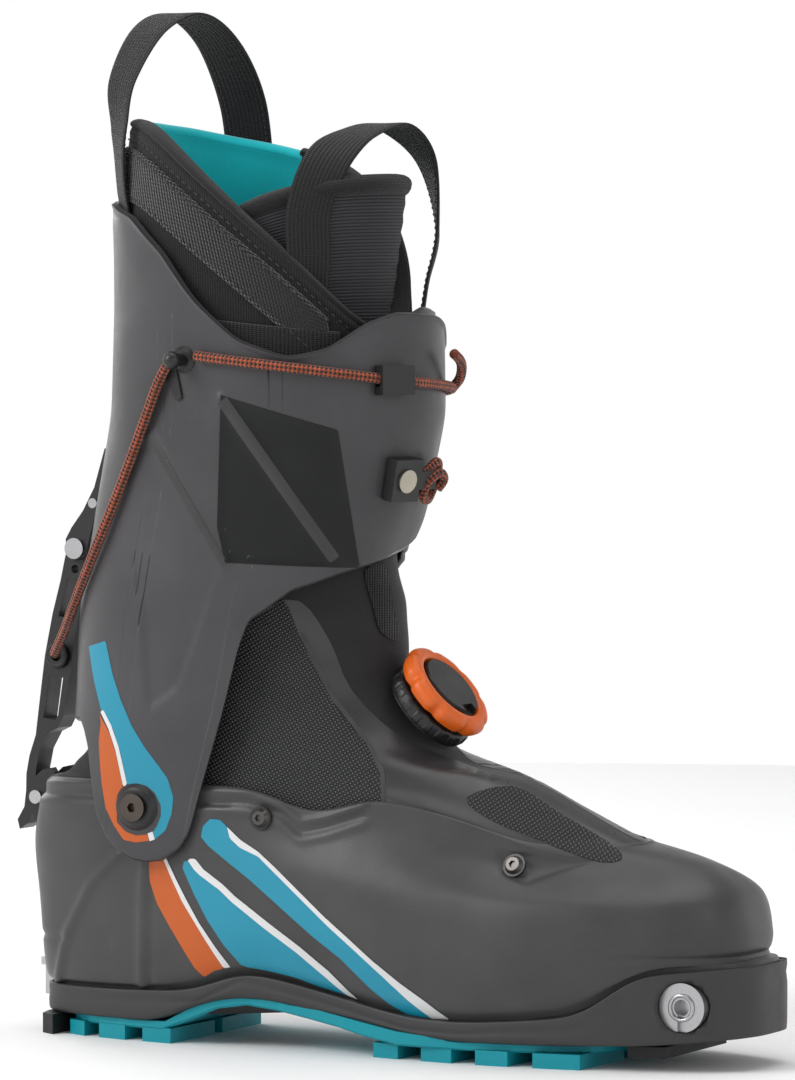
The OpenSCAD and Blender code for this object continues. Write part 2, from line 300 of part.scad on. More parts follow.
// ---- walk lever ----------------------------------------------------------------------
LEV = [[3.4, 186], [1.8, 180], [0, 172], [-3.6, 159], [-7, 143], [-9.2, 127], [-11.2, 112], [-14, 104], [-15.4, 97], [-15.6, 90], [-16.4, 84], [-19.4, 79], [-18.4, 75.4], [-14.8, 77.6], [-12.4, 84], [-11.7, 92], [-11, 99], [-9.4, 106.4], [-5.6, 113], [-1.4, 115], [1.2, 120], [3.4, 133], [6.4, 150], [9.6, 166], [12.2, 180], [12.6, 186], [10, 189.2], [6, 189.4]];
WIN = [[[3, 173], [-1, 158], [5.6, 157.4], [8.2, 172.2]], [[-5.4, 135], [-7.8, 118.8], [-1.6, 118], [1, 134.4]], [[-0.6, 154], [-1.2, 151.6], [3.6, 151], [4.2, 154]]];
module walk_lever() color([0.16, 0.16, 0.16]) boot() difference() {
  translate([0, 5.4, 0]) rotate([90, 0, 0]) linear_extrude(10.8) difference() { polygon(LEV); polygon(WIN[0]); polygon(WIN[1]); }
  bar(LTOP[0], LTOP[2], -20, 20, 2.06);
  bar(6.4, 176.4, -20, 20, 1.6);
  bar(-0.9, 143, -20, 20, 2.6);
}
module lever_grommet() color([0.1, 0.1, 0.1]) boot() difference() { union() { bar(-0.9, 143, -7.6, 7.6, 2.55); sides() translate([-0.9, -5.5, 143]) rotate([90, 0, 0]) rotate_extrude() translate([3.9, 1.1]) circle(r = 1.1); sides() bar(-0.9, 143, -7.6, -5.5, 3.8); } bar(-0.9, 143, -20, 20, 2.2); }

// ---- cuff cord -----------------------------------------------------------------------
cr_ = cord_d / 2;
CORD = concat([for (a = [264:6.8:332]) onc(a, 259.6 - (a - 264) * 0.13, cr_ + 0.6)], [for (a = [337:7:400]) onc(a, 250.4 - (a - 337) * 0.08, cr_ + 0.6)], [for (a = [47:7:75]) onc(a, 244.6 - (a - 47) * 0.18, cr_ + 0.6)]);
module cuff_cord() color([0.6, 0.3, 0.15]) boot() tube(CORD, cr_ - 0.05, [0, 0, 1], 8);
module cord_span() color([0.6, 0.3, 0.15]) boot() tube(smooth([[0.4, -10.9, 144], [10.2, -19.8, 154], onc(210, 165, cr_ + 0.7), onc(225.5, 186, cr_ + 0.7), onc(236, 210, cr_ + 0.7), onc(244, 235, cr_ + 0.7), onc(250, 249, cr_ + 0.8), onc(254.2, 256, cr_ + 1)], 3), cr_ - 0.05, [0, 0, 1], 8);

lower_shell();
sole_frame();
outsole();
heel_pad();
toe_pad();
toe_fitting_lateral();
toe_fitting_medial();
heel_fitting();
heel_fitting_screw();
pivot_bolts();
pivot_washers();
pivot_bushes();
pivot_nuts();
heel_bracket();
latch_pin();
gaiter_vamp();
gaiter_collar();
gaiter_velcro();
gaiter_screws();
gaiter_washers();
lace_guides();
dial_lace();
dial_base();
dial_spool();
dial_ratchet();
dial_axle();
dial_grip();
dial_cap();
liner_lower();
liner_flex();
liner_upper();
liner_lining();
liner_velcro();
liner_strap();
footbed();
rear_loop();
front_loop();
cuff();
cord_hooks();
cord_hook_rivets();
cord_guides();
cord_anchor();
anchor_rivet();
lever_bracket();
bracket_rivets();
lever_pin();
walk_lever();
lever_grommet();
cuff_cord();
cord_span();
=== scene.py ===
import bpy, math
import numpy as np
from mathutils import Vector, Matrix
from mathutils.bvhtree import BVHTree
from mathutils.geometry import delaunay_2d_cdt


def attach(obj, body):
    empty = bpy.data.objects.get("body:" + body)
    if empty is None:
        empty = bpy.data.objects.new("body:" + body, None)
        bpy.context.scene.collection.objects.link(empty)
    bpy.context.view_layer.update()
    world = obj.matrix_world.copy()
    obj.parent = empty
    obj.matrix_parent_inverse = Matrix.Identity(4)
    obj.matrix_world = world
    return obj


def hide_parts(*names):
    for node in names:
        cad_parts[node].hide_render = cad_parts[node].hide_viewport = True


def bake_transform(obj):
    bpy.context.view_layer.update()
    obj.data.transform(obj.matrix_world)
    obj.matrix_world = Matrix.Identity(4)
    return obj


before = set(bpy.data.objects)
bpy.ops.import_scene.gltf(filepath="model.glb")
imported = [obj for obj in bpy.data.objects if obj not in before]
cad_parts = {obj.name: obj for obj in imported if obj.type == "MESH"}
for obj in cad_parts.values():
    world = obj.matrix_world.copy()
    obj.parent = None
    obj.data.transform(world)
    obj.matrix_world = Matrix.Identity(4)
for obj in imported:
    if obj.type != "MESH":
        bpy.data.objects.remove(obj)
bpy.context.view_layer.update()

HX, MM = 138.0, 0.001
CA_, SA_ = 0.891, 0.454
rng = np.random.default_rng(7)

# ------------------------------------------------------------------ camera, light, floor
cam = bpy.data.objects.new("camera", bpy.data.cameras.new("camera"))
bpy.context.scene.collection.objects.link(cam)
cam.location = (1.1101, -2.1699, 0.298)
cam.rotation_euler = (Vector((-0.0248, 0.0577, 0.1872)) - cam.location).to_track_quat("-Z", "Y").to_euler()
cam.data.lens = 216.67; cam.data.sensor_width = 36; cam.data.clip_end = 20
bpy.context.scene.camera = cam
bpy.context.scene.view_settings.view_transform = "Standard"
w = bpy.data.worlds.new("studio"); bpy.context.scene.world = w; w.use_nodes = True
w.node_tree.nodes["Background"].inputs[0].default_value = (1, 1, 1, 1)
wn = w.node_tree
wz = wn.nodes.new("ShaderNodeSeparateXYZ"); wn.links.new(wn.nodes.new("ShaderNodeTexCoord").outputs["Generated"], wz.inputs[0])
wr_ = wn.nodes.new("ShaderNodeMapRange"); wn.links.new(wz.outputs[2], wr_.inputs[0]); wr_.interpolation_type = "SMOOTHSTEP"
for i_, v_ in ((1, 0.2), (2, 0.55), (3, 1.0), (4, 0.32)): wr_.inputs[i_].default_value = v_
wn.links.new(wr_.outputs[0], wn.nodes["Background"].inputs[1])


def area(name, loc, aim, size, power, sy=None):
    l = bpy.data.lights.new(name, "AREA"); l.energy = power; l.size = size
    if sy: l.shape = "RECTANGLE"; l.size_y = sy
    o = bpy.data.objects.new(name, l); bpy.context.scene.collection.objects.link(o)
    o.location = loc; o.rotation_euler = (Vector(aim) - Vector(loc)).to_track_quat("-Z", "Y").to_euler()


area("key", (-1.3, -1.5, 1.5), (0, 0, 0.2), 1.1, 32)
area("front", (1.7, -0.5, 1.0), (0, 0, 0.15), 0.5, 3.2, 1.2)
area("rear", (-1.3, 1.0, 0.9), (0, 0, 0.2), 0.6, 9, 1.2)
area("top", (0.1, 0.1, 1.8), (0, 0, 0.1), 1.6, 16)


def srgb(r, g, b):
    f = lambda c: (c / 255) / 12.92 if c / 255 <= 0.04045 else ((c / 255 + 0.055) / 1.055) ** 2.4
    return (f(r), f(g), f(b), 1)


# ------------------------------------------------------------------ materials
def base(name):
    m = bpy.data.materials.new(name); m.use_nodes = True
    return m, m.node_tree, m.node_tree.nodes["Principled BSDF"]


def nd(nt, t, ins=(), **k):
    n = nt.nodes.new(t)
    for a, v in k.items(): setattr(n, a, v)
    for i, v in dict(ins).items():
        if isinstance(v, bpy.types.NodeSocket): nt.links.new(v, n.inputs[i])
        else: n.inputs[i].default_value = v
    return n


def mixc(nt, f, a, b, blend="MIX"):
    n = nt.nodes.new("ShaderNodeMix"); n.data_type = "RGBA"; n.blend_type = blend
    for i, v in ((0, f), (6, a), (7, b)):
        if isinstance(v, bpy.types.NodeSocket): nt.links.new(v, n.inputs[i])
        else: n.inputs[i].default_value = v
    return n.outputs[2]


def math_(nt, op, a, b=0.0):
    return nd(nt, "ShaderNodeMath", {0: a, 1: b}, operation=op).outputs[0]


def ramp(nt, f, lo, hi):
    return nd(nt, "ShaderNodeMapRange", {0: f, 1: lo[0], 2: hi[0], 3: lo[1], 4: hi[1]}).outputs[0]


def noise_(nt, v, s, d=4.0, r=0.55):
    return nd(nt, "ShaderNodeTexNoise", {"Vector": v, "Scale": s, "Detail": d, "Roughness": r}).outputs[0]


def sc(c, k): return (min(c[0] * k, 1), min(c[1] * k, 1), min(c[2] * k, 1), 1)


def plastic(name, c, rough=0.42, grain=0.1, gs=1600, var=0.12, blotch=22, spec=0.5, metal=0.0, coat=0.0, streak=0.0, dist=0.0003):
    m, nt, b = base(name)
    v = nd(nt, "ShaderNodeTexCoord").outputs["Object"]
    n1, n2 = noise_(nt, v, blotch), noise_(nt, v, gs, 2.0)
    col = mixc(nt, ramp(nt, n1, (0.3, 0), (0.7, 1)), sc(c, 1 - var), sc(c, 1 + var))
    if streak:
        sv = nd(nt, "ShaderNodeMapping", {0: v, 3: (30, 30, 900)}).outputs[0]
        col = mixc(nt, ramp(nt, noise_(nt, sv, 1.0, 3.0), (0.62, 0), (0.8, streak)), col, sc(c, 1.9))
    col = mixc(nt, ramp(nt, n2, (0.3, 0), (0.8, 0.25)), col, sc(c, 1.35))
    nt.links.new(col, b.inputs["Base Color"])
    nt.links.new(ramp(nt, noise_(nt, v, 70, 5.0), (0.3, rough - 0.06), (0.7, rough + 0.08)), b.inputs["Roughness"])
    b.inputs["Specular IOR Level"].default_value = spec
    b.inputs["Metallic"].default_value = metal
    b.inputs["Coat Weight"].default_value = coat
    bp = nd(nt, "ShaderNodeBump", {"Strength": grain, "Distance": dist, "Height": n2})
    nt.links.new(bp.outputs[0], b.inputs["Normal"])
    return m


# Cloth: threads across and along the piece's own UV, which is in millimetres
def cloth(name, c1, c2, pu=1.0, pv=1.0, op="MULTIPLY", bump=0.5, rough=0.85, sheen=0.15, diag=0.0, var=0.15, lo=0.2, hi=0.8, dist=0.0004, spec=0.3):
    m, nt, b = base(name)
    tc = nd(nt, "ShaderNodeTexCoord")
    s = nd(nt, "ShaderNodeSeparateXYZ", {0: tc.outputs["UV"]})
    u, v = s.outputs[0], s.outputs[1]
    if diag:
        u2 = math_(nt, "ADD", u, math_(nt, "MULTIPLY", v, diag)); v = math_(nt, "SUBTRACT", v, math_(nt, "MULTIPLY", u, diag)); u = u2
    tri = lambda x, p: math_(nt, "ABSOLUTE", math_(nt, "SINE", math_(nt, "MULTIPLY", x, math.pi / p)))
    h = math_(nt, op, tri(u, pu), tri(v, pv)) if pu and pv else tri(u or v, pu or pv) if pu else tri(v, pv)
    ob = tc.outputs["Object"]
    n1 = noise_(nt, ob, 35); n2 = noise_(nt, ob, 2600, 2.0)
    col = mixc(nt, ramp(nt, h, (lo, 0), (hi, 1)), c1, c2)
    col = mixc(nt, ramp(nt, n1, (0.3, 0), (0.7, 1)), mixc(nt, 1.0, col, (1 - var,) * 3 + (1,), "MULTIPLY"), col)
    nt.links.new(col, b.inputs["Base Color"])
    b.inputs["Roughness"].default_value = rough; b.inputs["Specular IOR Level"].default_value = spec
    b.inputs["Sheen Weight"].default_value = sheen; b.inputs["Sheen Roughness"].default_value = 0.5
    hh = math_(nt, "ADD", h, math_(nt, "MULTIPLY", n2, 0.35))
    bp = nd(nt, "ShaderNodeBump", {"Strength": bump, "Distance": dist, "Height": hh})
    nt.links.new(bp.outputs[0], b.inputs["Normal"])
    return m


SHELLC, CUFFC = srgb(64, 63, 63), srgb(63, 62, 64)
M_shell = plastic("shell_grey", SHELLC, 0.38, 0.16, 1300, 0.18, 26, 0.3, streak=0.10)
M_cuff = plastic("cuff_grey", CUFFC, 0.36, 0.14, 1300, 0.22, 20, 0.3, streak=0.14)
M_panel = plastic("cuff_panel", srgb(20, 21, 22), 0.34, 0.12, 1200, 0.3, 30, 0.25, streak=0.5)
M_frame = plastic("sole_grey", srgb(44, 43, 44), 0.5, 0.2, 1300, 0.1, 25)
M_teal = plastic("teal_rubber", srgb(0, 135, 148), 0.55, 0.25, 1100, 0.08, 20, 0.35)
M_black = plastic("black_plastic", srgb(22, 22, 23), 0.42, 0.15, 1400, 0.15)
M_blackr = plastic("black_rubber", srgb(20, 20, 21), 0.6, 0.3, 900, 0.2)
M_steel = plastic("steel", (0.42, 0.42, 0.43, 1), 0.3, 0.04, 900, 0.05, 40, 0.5, 1.0)
M_dark = plastic("dark_metal", (0.09, 0.085, 0.08, 1), 0.34, 0.05, 900, 0.15, 60, 0.5, 0.8)
M_brass = plastic("brass", (0.09, 0.075, 0.065, 1), 0.36, 0.05, 900, 0.12, 60, 0.5, 1.0)
M_bronze = plastic("bronze", (0.42, 0.39, 0.32, 1), 0.34, 0.05, 900, 0.12, 60, 0.5, 0.9)
M_orange = plastic("orange_plastic", srgb(206, 90, 14), 0.4, 0.12, 1500, 0.06, 40, 0.5)
M_blue = plastic("decal_teal", srgb(8, 130, 156), 0.4, 0.05, 1500, 0.04, 30)
M_orng = plastic("decal_orange", srgb(180, 80, 8), 0.4, 0.05, 1500, 0.05, 30)
M_white = plastic("decal_white", srgb(205, 205, 205), 0.4, 0.05, 1500, 0.03, 30)
M_film = plastic("film_grey", srgb(46, 45, 46), 0.36, 0.1, 1500, 0.08, 30)
M_groove = plastic("groove", srgb(22, 22, 23), 0.6, 0.1, 1500, 0.1, 30)
M_soft = cloth("softshell", srgb(27, 26, 27), srgb(38, 37, 39), 0.45, 0.45, bump=0.35, rough=0.7, sheen=0.1, dist=0.0002)
# black open-weave mesh: the pale second colour on the thread crests is painted glints, a painted highlight
M_mesh = cloth("mesh", srgb(12, 12, 13), srgb(82, 84, 84), 1.5, 1.5, "MULTIPLY", 0.9, 0.6, 0.0, diag=0.6, lo=0.55, hi=0.95, dist=0.0005, spec=0.5)
M_velc = cloth("velcro", srgb(6, 6, 7), srgb(15, 15, 16), 0.9, 0.9, bump=0.9, rough=1.0, sheen=0.3, dist=0.0003)
M_knit = cloth("knit", srgb(20, 20, 21), srgb(44, 44, 46), 1.1, 0.8, "MULTIPLY", 0.7, 0.95, 0.12, lo=0.1, hi=0.9)
M_rib = cloth("rib_knit", srgb(22, 22, 24), srgb(58, 56, 61), 0, 1.25, bump=0.9, rough=0.9, sheen=0.12, lo=0.1, hi=0.9, dist=0.0006)
M_fuzz = cloth("fleece", srgb(7, 7, 8), srgb(29, 29, 30), 1.9, 1.4, "MULTIPLY", 1.0, 1.0, 0.3, diag=0.35, dist=0.0009)
M_teal_f = cloth("teal_fabric", srgb(0, 180, 190), srgb(8, 202, 210), 0.5, 0.5, bump=0.25, rough=0.75, sheen=0.2, dist=0.0002, var=0.1)
M_web = cloth("webbing", srgb(12, 12, 13), srgb(44, 44, 45), 1.5, 0.75, "MULTIPLY", 0.9, 0.75, 0.1, diag=0.0, lo=0.15, hi=0.9, dist=0.0005)
M_bind = cloth("binding", srgb(16, 16, 17), srgb(40, 40, 42), 0.7, 0.7, bump=0.7, rough=0.85)
M_stitch = plastic("stitch", srgb(50, 50, 53), 0.7, 0.2, 2000, 0.2, 200)
M_foot = cloth("footbed", srgb(20, 80, 90), srgb(40, 110, 120), 1.2, 1.2, bump=0.5)


def braid():
    m, nt, b = base("cord_braid")
    tc = nd(nt, "ShaderNodeTexCoord")
    s = nd(nt, "ShaderNodeSeparateXYZ", {0: tc.outputs["UV"]})
    u, v = s.outputs[0], s.outputs[1]
    k = math.pi
    a = math_(nt, "SINE", math_(nt, "MULTIPLY", math_(nt, "ADD", math_(nt, "MULTIPLY", u, 0.48), math_(nt, "MULTIPLY", v, 0.62)), k))
    c = math_(nt, "SINE", math_(nt, "MULTIPLY", math_(nt, "SUBTRACT", math_(nt, "MULTIPLY", u, 0.48), math_(nt, "MULTIPLY", v, 0.62)), k))
    h = math_(nt, "MULTIPLY", a, c)
    f = math_(nt, "MULTIPLY", ramp(nt, h, (-0.15, 0), (0.15, 1)), ramp(nt, noise_(nt, tc.outputs["Object"], 420, 2.0), (0.35, 0.55), (0.6, 1)))
    nt.links.new(mixc(nt, f, srgb(28, 18, 16), srgb(176, 78, 38)), b.inputs["Base Color"])
    b.inputs["Roughness"].default_value = 0.8; b.inputs["Sheen Weight"].default_value = 0.15
    bp = nd(nt, "ShaderNodeBump", {"Strength": 0.9, "Distance": 0.0006, "Height": math_(nt, "ABSOLUTE", h)})
    nt.links.new(bp.outputs[0], b.inputs["Normal"])
    return m


M_cord = braid()

# ------------------------------------------------------------------ geometry helpers (millimetres, x from the heel edge)
N = 480
A = 2 * np.pi * (np.arange(N) + 0.5) / N


def gs(v, s, wrap=True):
    k = np.arange(-int(3 * s) - 1, int(3 * s) + 2); wt = np.exp(-0.5 * (k / s) ** 2); wt /= wt.sum()
    if wrap: return sum(a * np.roll(v, -i, axis=0) for a, i in zip(wt, k))
    K = len(k); p = np.concatenate([np.repeat(v[:1], K, 0), v, np.repeat(v[-1:], K, 0)])
    return sum(a * np.roll(p, -i, axis=0) for a, i in zip(wt, k))[K:-K]


def look(x, t): t = np.array(t, float); return np.interp(x, t[:, 0], t[:, 1])


def ysh(t, s, w, k, e, m):
    ee = np.where((t < -0.6) & (e < 0.8), np.maximum(0.5, e - 0.4 * (-0.6 - t)), e)
    return np.sign(s) * w * (1 + k * t) * (1 - m * np.exp(-((t + 0.15) / 0.35) ** 2)) * np.abs(s) ** ee


def ring(p):
    t, s = np.cos(A), np.sin(A); x = (p[0] + p[1]) / 2 + (p[1] - p[0]) / 2 * t
    return np.stack([x, ysh(t, s, *p[2:6]) + p[6] * np.maximum(t, 0) ** 2, gs(look(x, p[7]), 5)], 1)


def inset(r, d, dz=0.0):
    t = np.roll(r, -1, 0) - np.roll(r, 1, 0); l = np.hypot(t[:, 0], t[:, 1])
    return np.stack([r[:, 0] - d * t[:, 1] / l, r[:, 1] + d * t[:, 0] / l, r[:, 2] + dz], 1)


def at_z(r, zt, dz=0.0): return np.stack([r[:, 0], r[:, 1], gs(look(r[:, 0], zt), 5) + dz], 1)


def loft(R, sub):
    R = np.array(R, float); n = len(R); out = []
    for i in range(n - 1):
        a, b, c, d = R[max(i - 1, 0)], R[i], R[i + 1], R[min(i + 2, n - 1)]
        for j in range(sub):
            u = j / sub
            out.append(0.5 * (2 * b + (c - a) * u + (2 * a - 5 * b + 4 * c - d) * u * u + (3 * b - a - 3 * c + d) * u ** 3))
    return np.array(out + [R[-1]])


def normals(P, wu=True):
    if wu: du = np.roll(P, -1, 1) - np.roll(P, 1, 1)
    else: du = np.gradient(P, axis=1)
    dv = np.gradient(P, axis=0); n = np.cross(du, dv)
    return n / np.maximum(np.linalg.norm(n, axis=2, keepdims=True), 1e-9)


def mesh(name, V, F, mat, body=None, uv=None, smooth=True, mats=None, mi=None):
    me = bpy.data.meshes.new(name)
    V = (np.asarray(V, float).reshape(-1, 3) - [HX, 0, 0]) * MM
    me.from_pydata(V.tolist(), [], [list(map(int, f)) for f in F]); me.validate()
    if uv is not None:
        l = me.uv_layers.new(name="UVMap"); l.data.foreach_set("uv", np.asarray(uv, np.float32).ravel())
    me.polygons.foreach_set("use_smooth", [smooth] * len(me.polygons))
    for m in (mats or [mat]): me.materials.append(m)
    if mi is not None: me.polygons.foreach_set("material_index", np.asarray(mi, np.int32))
    me.update(); o = bpy.data.objects.new(name, me); bpy.context.scene.collection.objects.link(o)
    if body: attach(o, body)
    return o


def grid(name, P, mat, body=None, wu=True, wv=False, cap=False, u0=0.0, **k):
    """rows x columns of points; wu closes each row on itself, wv the stack"""
    P = np.asarray(P, float); m, n = P.shape[:2]
    mu, mv = (n if wu else n - 1), (m if wv else m - 1)
    ul = np.concatenate([[0], np.cumsum(np.linalg.norm(np.diff(np.concatenate([P, P[:, :1]], 1), axis=1), axis=2).mean(0))])
    vl = np.concatenate([[0], np.cumsum(np.linalg.norm(np.diff(np.concatenate([P, P[:1]], 0), axis=0), axis=2).mean(1))])
    r, c = np.meshgrid(np.arange(mv), np.arange(mu), indexing="ij"); r, c = r.ravel(), c.ravel()
    r2, c2 = (r + 1) % m, (c + 1) % n
    F = np.stack([r * n + c, r * n + c2, r2 * n + c2, r2 * n + c], 1)
    uv = np.stack([np.stack([ul[c], vl[r]], 1), np.stack([ul[c + 1], vl[r]], 1), np.stack([ul[c + 1], vl[r + 1]], 1), np.stack([ul[c], vl[r + 1]], 1)], 1).reshape(-1, 2)
    F = F.tolist(); uv = uv.tolist()
    if cap:
        for row, fl in ((0, True), (m - 1, False)):
            f = [row * n + i for i in range(n)]
            if fl: f = f[::-1]
            F.append(f); uv += [[0, 0]] * n
    return mesh(name, P, F, mat, body, uv, **k)


def tube(name, P, r, mat, body=None, n=12, close=False, prof=None, ref=(0, 0, 1), cap=True):
    P = np.asarray(P, float)
    T = (np.roll(P, -1, 0) - np.roll(P, 1, 0)) if close else np.gradient(P, axis=0)
    T /= np.linalg.norm(T, axis=1, keepdims=True)
    U = np.cross(T, np.array(ref, float)); U /= np.maximum(np.linalg.norm(U, axis=1, keepdims=True), 1e-6); W = np.cross(U, T)
    a = 2 * np.pi * np.arange(n) / n; rr = np.broadcast_to(np.asarray(r, float), (len(P),))[:, None, None]
    c, s = (np.cos(a), np.sin(a)) if prof is None else prof(a)
    G_ = P[:, None] + rr * (U[:, None] * c[None, :, None] - W[:, None] * s[None, :, None])
    return grid(name, G_, mat, body, wu=True, wv=close, cap=cap and not close)


def smooth(P, k):
    return loft(np.array(P, float)[:, None], k)[:, 0]


def resample(P, step):
    P = np.asarray(P, float); d = np.concatenate([[0], np.cumsum(np.linalg.norm(np.diff(P, axis=0), axis=1))])
    s = np.linspace(0, d[-1], max(2, int(d[-1] / step) + 1))
    return np.stack([np.interp(s, d, P[:, i]) for i in range(P.shape[1])], 1)


def pdist(Q, poly, closed=False):
    """distance of points Q (n,2) to a polyline"""
    p = np.array(poly, float)
    if closed: p = np.concatenate([p, p[:1]])
    best = np.full(len(Q), 1e9)
    for a, b in zip(p[:-1], p[1:]):
        ab = b - a; t = np.clip(((Q - a) @ ab) / max(ab @ ab, 1e-9), 0, 1)
        best = np.minimum(best, np.linalg.norm(Q - a - t[:, None] * ab, axis=1))
    return best


def inside(Q, poly):
    p = np.array(poly, float); r = np.zeros(len(Q), bool); j = len(p) - 1
    for i in range(len(p)):
        yi, yj = p[i, 1], p[j, 1]
        c = ((yi > Q[:, 1]) != (yj > Q[:, 1])) & (Q[:, 0] < (p[j, 0] - p[i, 0]) * (Q[:, 1] - yi) / (yj - yi + 1e-12) + p[i, 0])
        r ^= c; j = i
    return r


def LZ(P): return np.stack([P[..., 0] * CA_ - np.abs(P[..., 1]) * SA_, P[..., 2]], -1)


def bvh_of(o):
    V = [v.co.copy() for v in o.data.vertices]; return BVHTree.FromPolygons(V, [list(p.vertices) for p in o.data.polygons])


def decal(name, poly, hosts, mat, body, off=0.14, step=1.5, smooth_n=0, both=True, disp=None, blend=None):
    """A thin graphic or cloth panel laid on the skin under it, on the outer side, and the same on the inner side"""
    p = np.array(poly, float)
    if smooth_n:
        p = loft(np.concatenate([p[-1:], p, p[:2]])[:, None], smooth_n)[smooth_n:-smooth_n, 0][:-1]
    b = resample(np.concatenate([p, p[:1]]), 1.0)[:-1]
    x0, x1 = b.min(0), b.max(0)
    gx, gy = np.meshgrid(np.arange(x0[0], x1[0], step), np.arange(x0[1], x1[1], step)); g = np.stack([gx.ravel(), gy.ravel()], 1)
    g = g[inside(g, b)]; g = g[pdist(g, b, True) > 0.7] if len(g) else g
    allp = np.concatenate([b, g]) if len(g) else b
    nb = len(b)
    r = delaunay_2d_cdt([Vector(q) for q in allp], [(i, (i + 1) % nb) for i in range(nb)], [], 1, 1e-5)
    vs, fs = np.array([tuple(v) for v in r[0]]), r[2]
    out = []
    for sgn in ((1, -1) if both else (1,)):
        V, ok = [], []
        d = Vector((-SA_, CA_ * sgn, 0))
        for q in vs:
            o = Vector(((q[0] * CA_ - HX) * MM, q[0] * SA_ * MM * sgn, q[1] * MM)) - d * 0.3
            best = None
            for h in hosts:
                hit = h.ray_cast(o, d)
                if hit[0] is not None and (best is None or hit[3] < best[3]): best = hit
            if best is None: V.append(None); continue
            nn = best[1] if best[1].dot(d) < 0 else -best[1]
            pt = best[0] + nn * off * MM
            V.append((pt.x / MM + HX, pt.y / MM, pt.z / MM))
        good = [i for i, v in enumerate(V) if v is not None]; mp = {g_: i for i, g_ in enumerate(good)}
        F = [[mp[i] for i in f] for f in fs if all(i in mp for i in f)]
        if sgn < 0: F = [f[::-1] for f in F]
        if not F: continue
        Va = np.array([V[i] for i in good])
        # drop triangles that jump from one surface to another
        F = [f for f in F if max(np.linalg.norm(Va[f[i]] - Va[f[i - 1]]) for i in range(len(f))) < 14]
        uvs = [vs[good[i]].tolist() for f in F for i in f]
        ob = mesh(name + ("" if sgn > 0 else "_m"), Va, F, mat, None if blend else body, uvs)
        # faces look outwards
        if sum(pl.normal.dot(-d) * pl.area for pl in ob.data.polygons) < 0: ob.data.flip_normals()
        if blend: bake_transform(ob)
        out.append(ob)
    return out


def cut(o, cutter):
    m = o.modifiers.new("cut", "BOOLEAN"); m.operation = "DIFFERENCE"; m.object = cutter; m.solver = "EXACT"
    bpy.context.view_layer.update(); dg = bpy.context.evaluated_depsgraph_get()
    me = bpy.data.meshes.new_from_object(o.evaluated_get(dg)); o.modifiers.remove(m); o.data = me
    bpy.data.objects.remove(cutter)


def cyl(p0, p1, r, n=48):
    P = np.array([p0, p1], float); return tube("cutter", P, r, M_black, None, n, ref=(0.01, 0, 1) if abs(P[1] - P[0])[1] > 1 else (0, 1, 0.01))


# ------------------------------------------------------------------ lower boot: frame, shell
ZFT = [[0, 19], [45, 19.5], [78, 21], [97, 30], [135, 22.5], [168, 16], [190, 15.5], [238, 19.5], [257, 34.5], [297, 38]]
ZFB = [[0, 8], [62, 8], [80, 17], [100, 20], [140, 13.5], [168, 9], [190, 8], [235, 8.5], [262, 10], [297, 13]]
ZSB = [[0, 12], [62, 12.5], [80, 19.8], [97, 23.5], [140, 17], [180, 12], [235, 12], [262, 13.5], [297, 17]]
TRAY = ring([0, 297, 46.8, 0.05, 0.65, 0.16, 1.5, ZFT]); ST, CT, AW = 2.4, 2.4, 47.6
O = [at_z(inset(TRAY, 2.9), ZSB), at_z(inset(TRAY, 2.9), ZFT, 0.3),
     ring([-1.5, 290, 48.5, 0.08, 0.67, 0.12, 1.5, [[-1.5, 24], [60, 25], [97, 35], [135, 28], [190, 22], [238, 27], [262, 39], [290, 40]]]),
     ring([-4.4, 290.5, 51.2, 0.12, 0.68, 0.05, 1.5, [[-4.4, 52], [100, 48], [190, 40], [262, 47], [290, 49]]]),
     ring([-6, 286, 49, 0.08, 0.66, 0.02, 1.5, [[-6, 73], [100, 70], [190, 60], [255, 61], [286, 64]]]),
     ring([-3, 270, 42.6, -0.22, 0.73, 0, 1.5, [[-3, 88], [102, 88], [123, 80], [152, 84], [211, 72], [250, 73.5], [270, 74]]]),
     ring([0, 246, 41.8, -0.14, 0.79, 0, 1.5, [[0, 97], [40, 98], [102, 98], [116, 94], [124, 88], [134, 90], [152, 96], [180, 90], [211, 80], [246, 80]]])]
HEEL1 = [(21.8, 70.4), (10.9, 59), (1.3, 39), (-2.8, 18.7)]
HEEL2 = [(31.9, 69.2), (31.1, 54.9), (30.6, 22.5)]


def shell_disp(P):
    q = LZ(P).reshape(-1, 2); x = P[..., 0].ravel(); z = q[:, 1]
    top = look(x, [[0, 97], [40, 98], [102, 98], [116, 94], [124, 88], [134, 90], [152, 96], [180, 90], [211, 80], [246, 80], [270, 74]])
    h = 1.3 * np.exp(-(pdist(q, HEEL1) / 1.7) ** 2) + 1.3 * np.exp(-(pdist(q, HEEL2) / 1.8) ** 2) - 0.7 * np.exp(-(pdist(q, [(34.8, 69), (34.2, 54), (33.8, 23)]) / 1.0) ** 2)
    h += np.where(x < 150, 0.9 * np.exp(-((top - z - 1.5) / 1.6) ** 2) - 0.6 * np.exp(-((top - z - 5) / 1.3) ** 2) + 0.5 * np.exp(-((top - z - 8.5) / 1.6) ** 2), 0)
    h -= np.where(x > 250, 0.6 * np.exp(-((z - 41.5) / 1.0) ** 2), 0)
    h -= np.where(x < 40, 0.8 * np.exp(-((z - 37) / 1.2) ** 2), 0)
    # the triangular recess round the front screw
    tri = [(164.5, 79.1), (200.9, 75.4), (186.3, 70.8), (173.5, 66.3), (163.3, 70.4)]
    d = pdist(q, tri, True); h -= np.where(inside(q, tri), 1.0 * np.clip(d / 1.5, 0, 1), 0)
    h -= 0.7 * np.exp(-(pdist(q, [(53.3, 91.7), (63.5, 92.2)]) / 0.9) ** 2)
    return h.reshape(P.shape[:2])


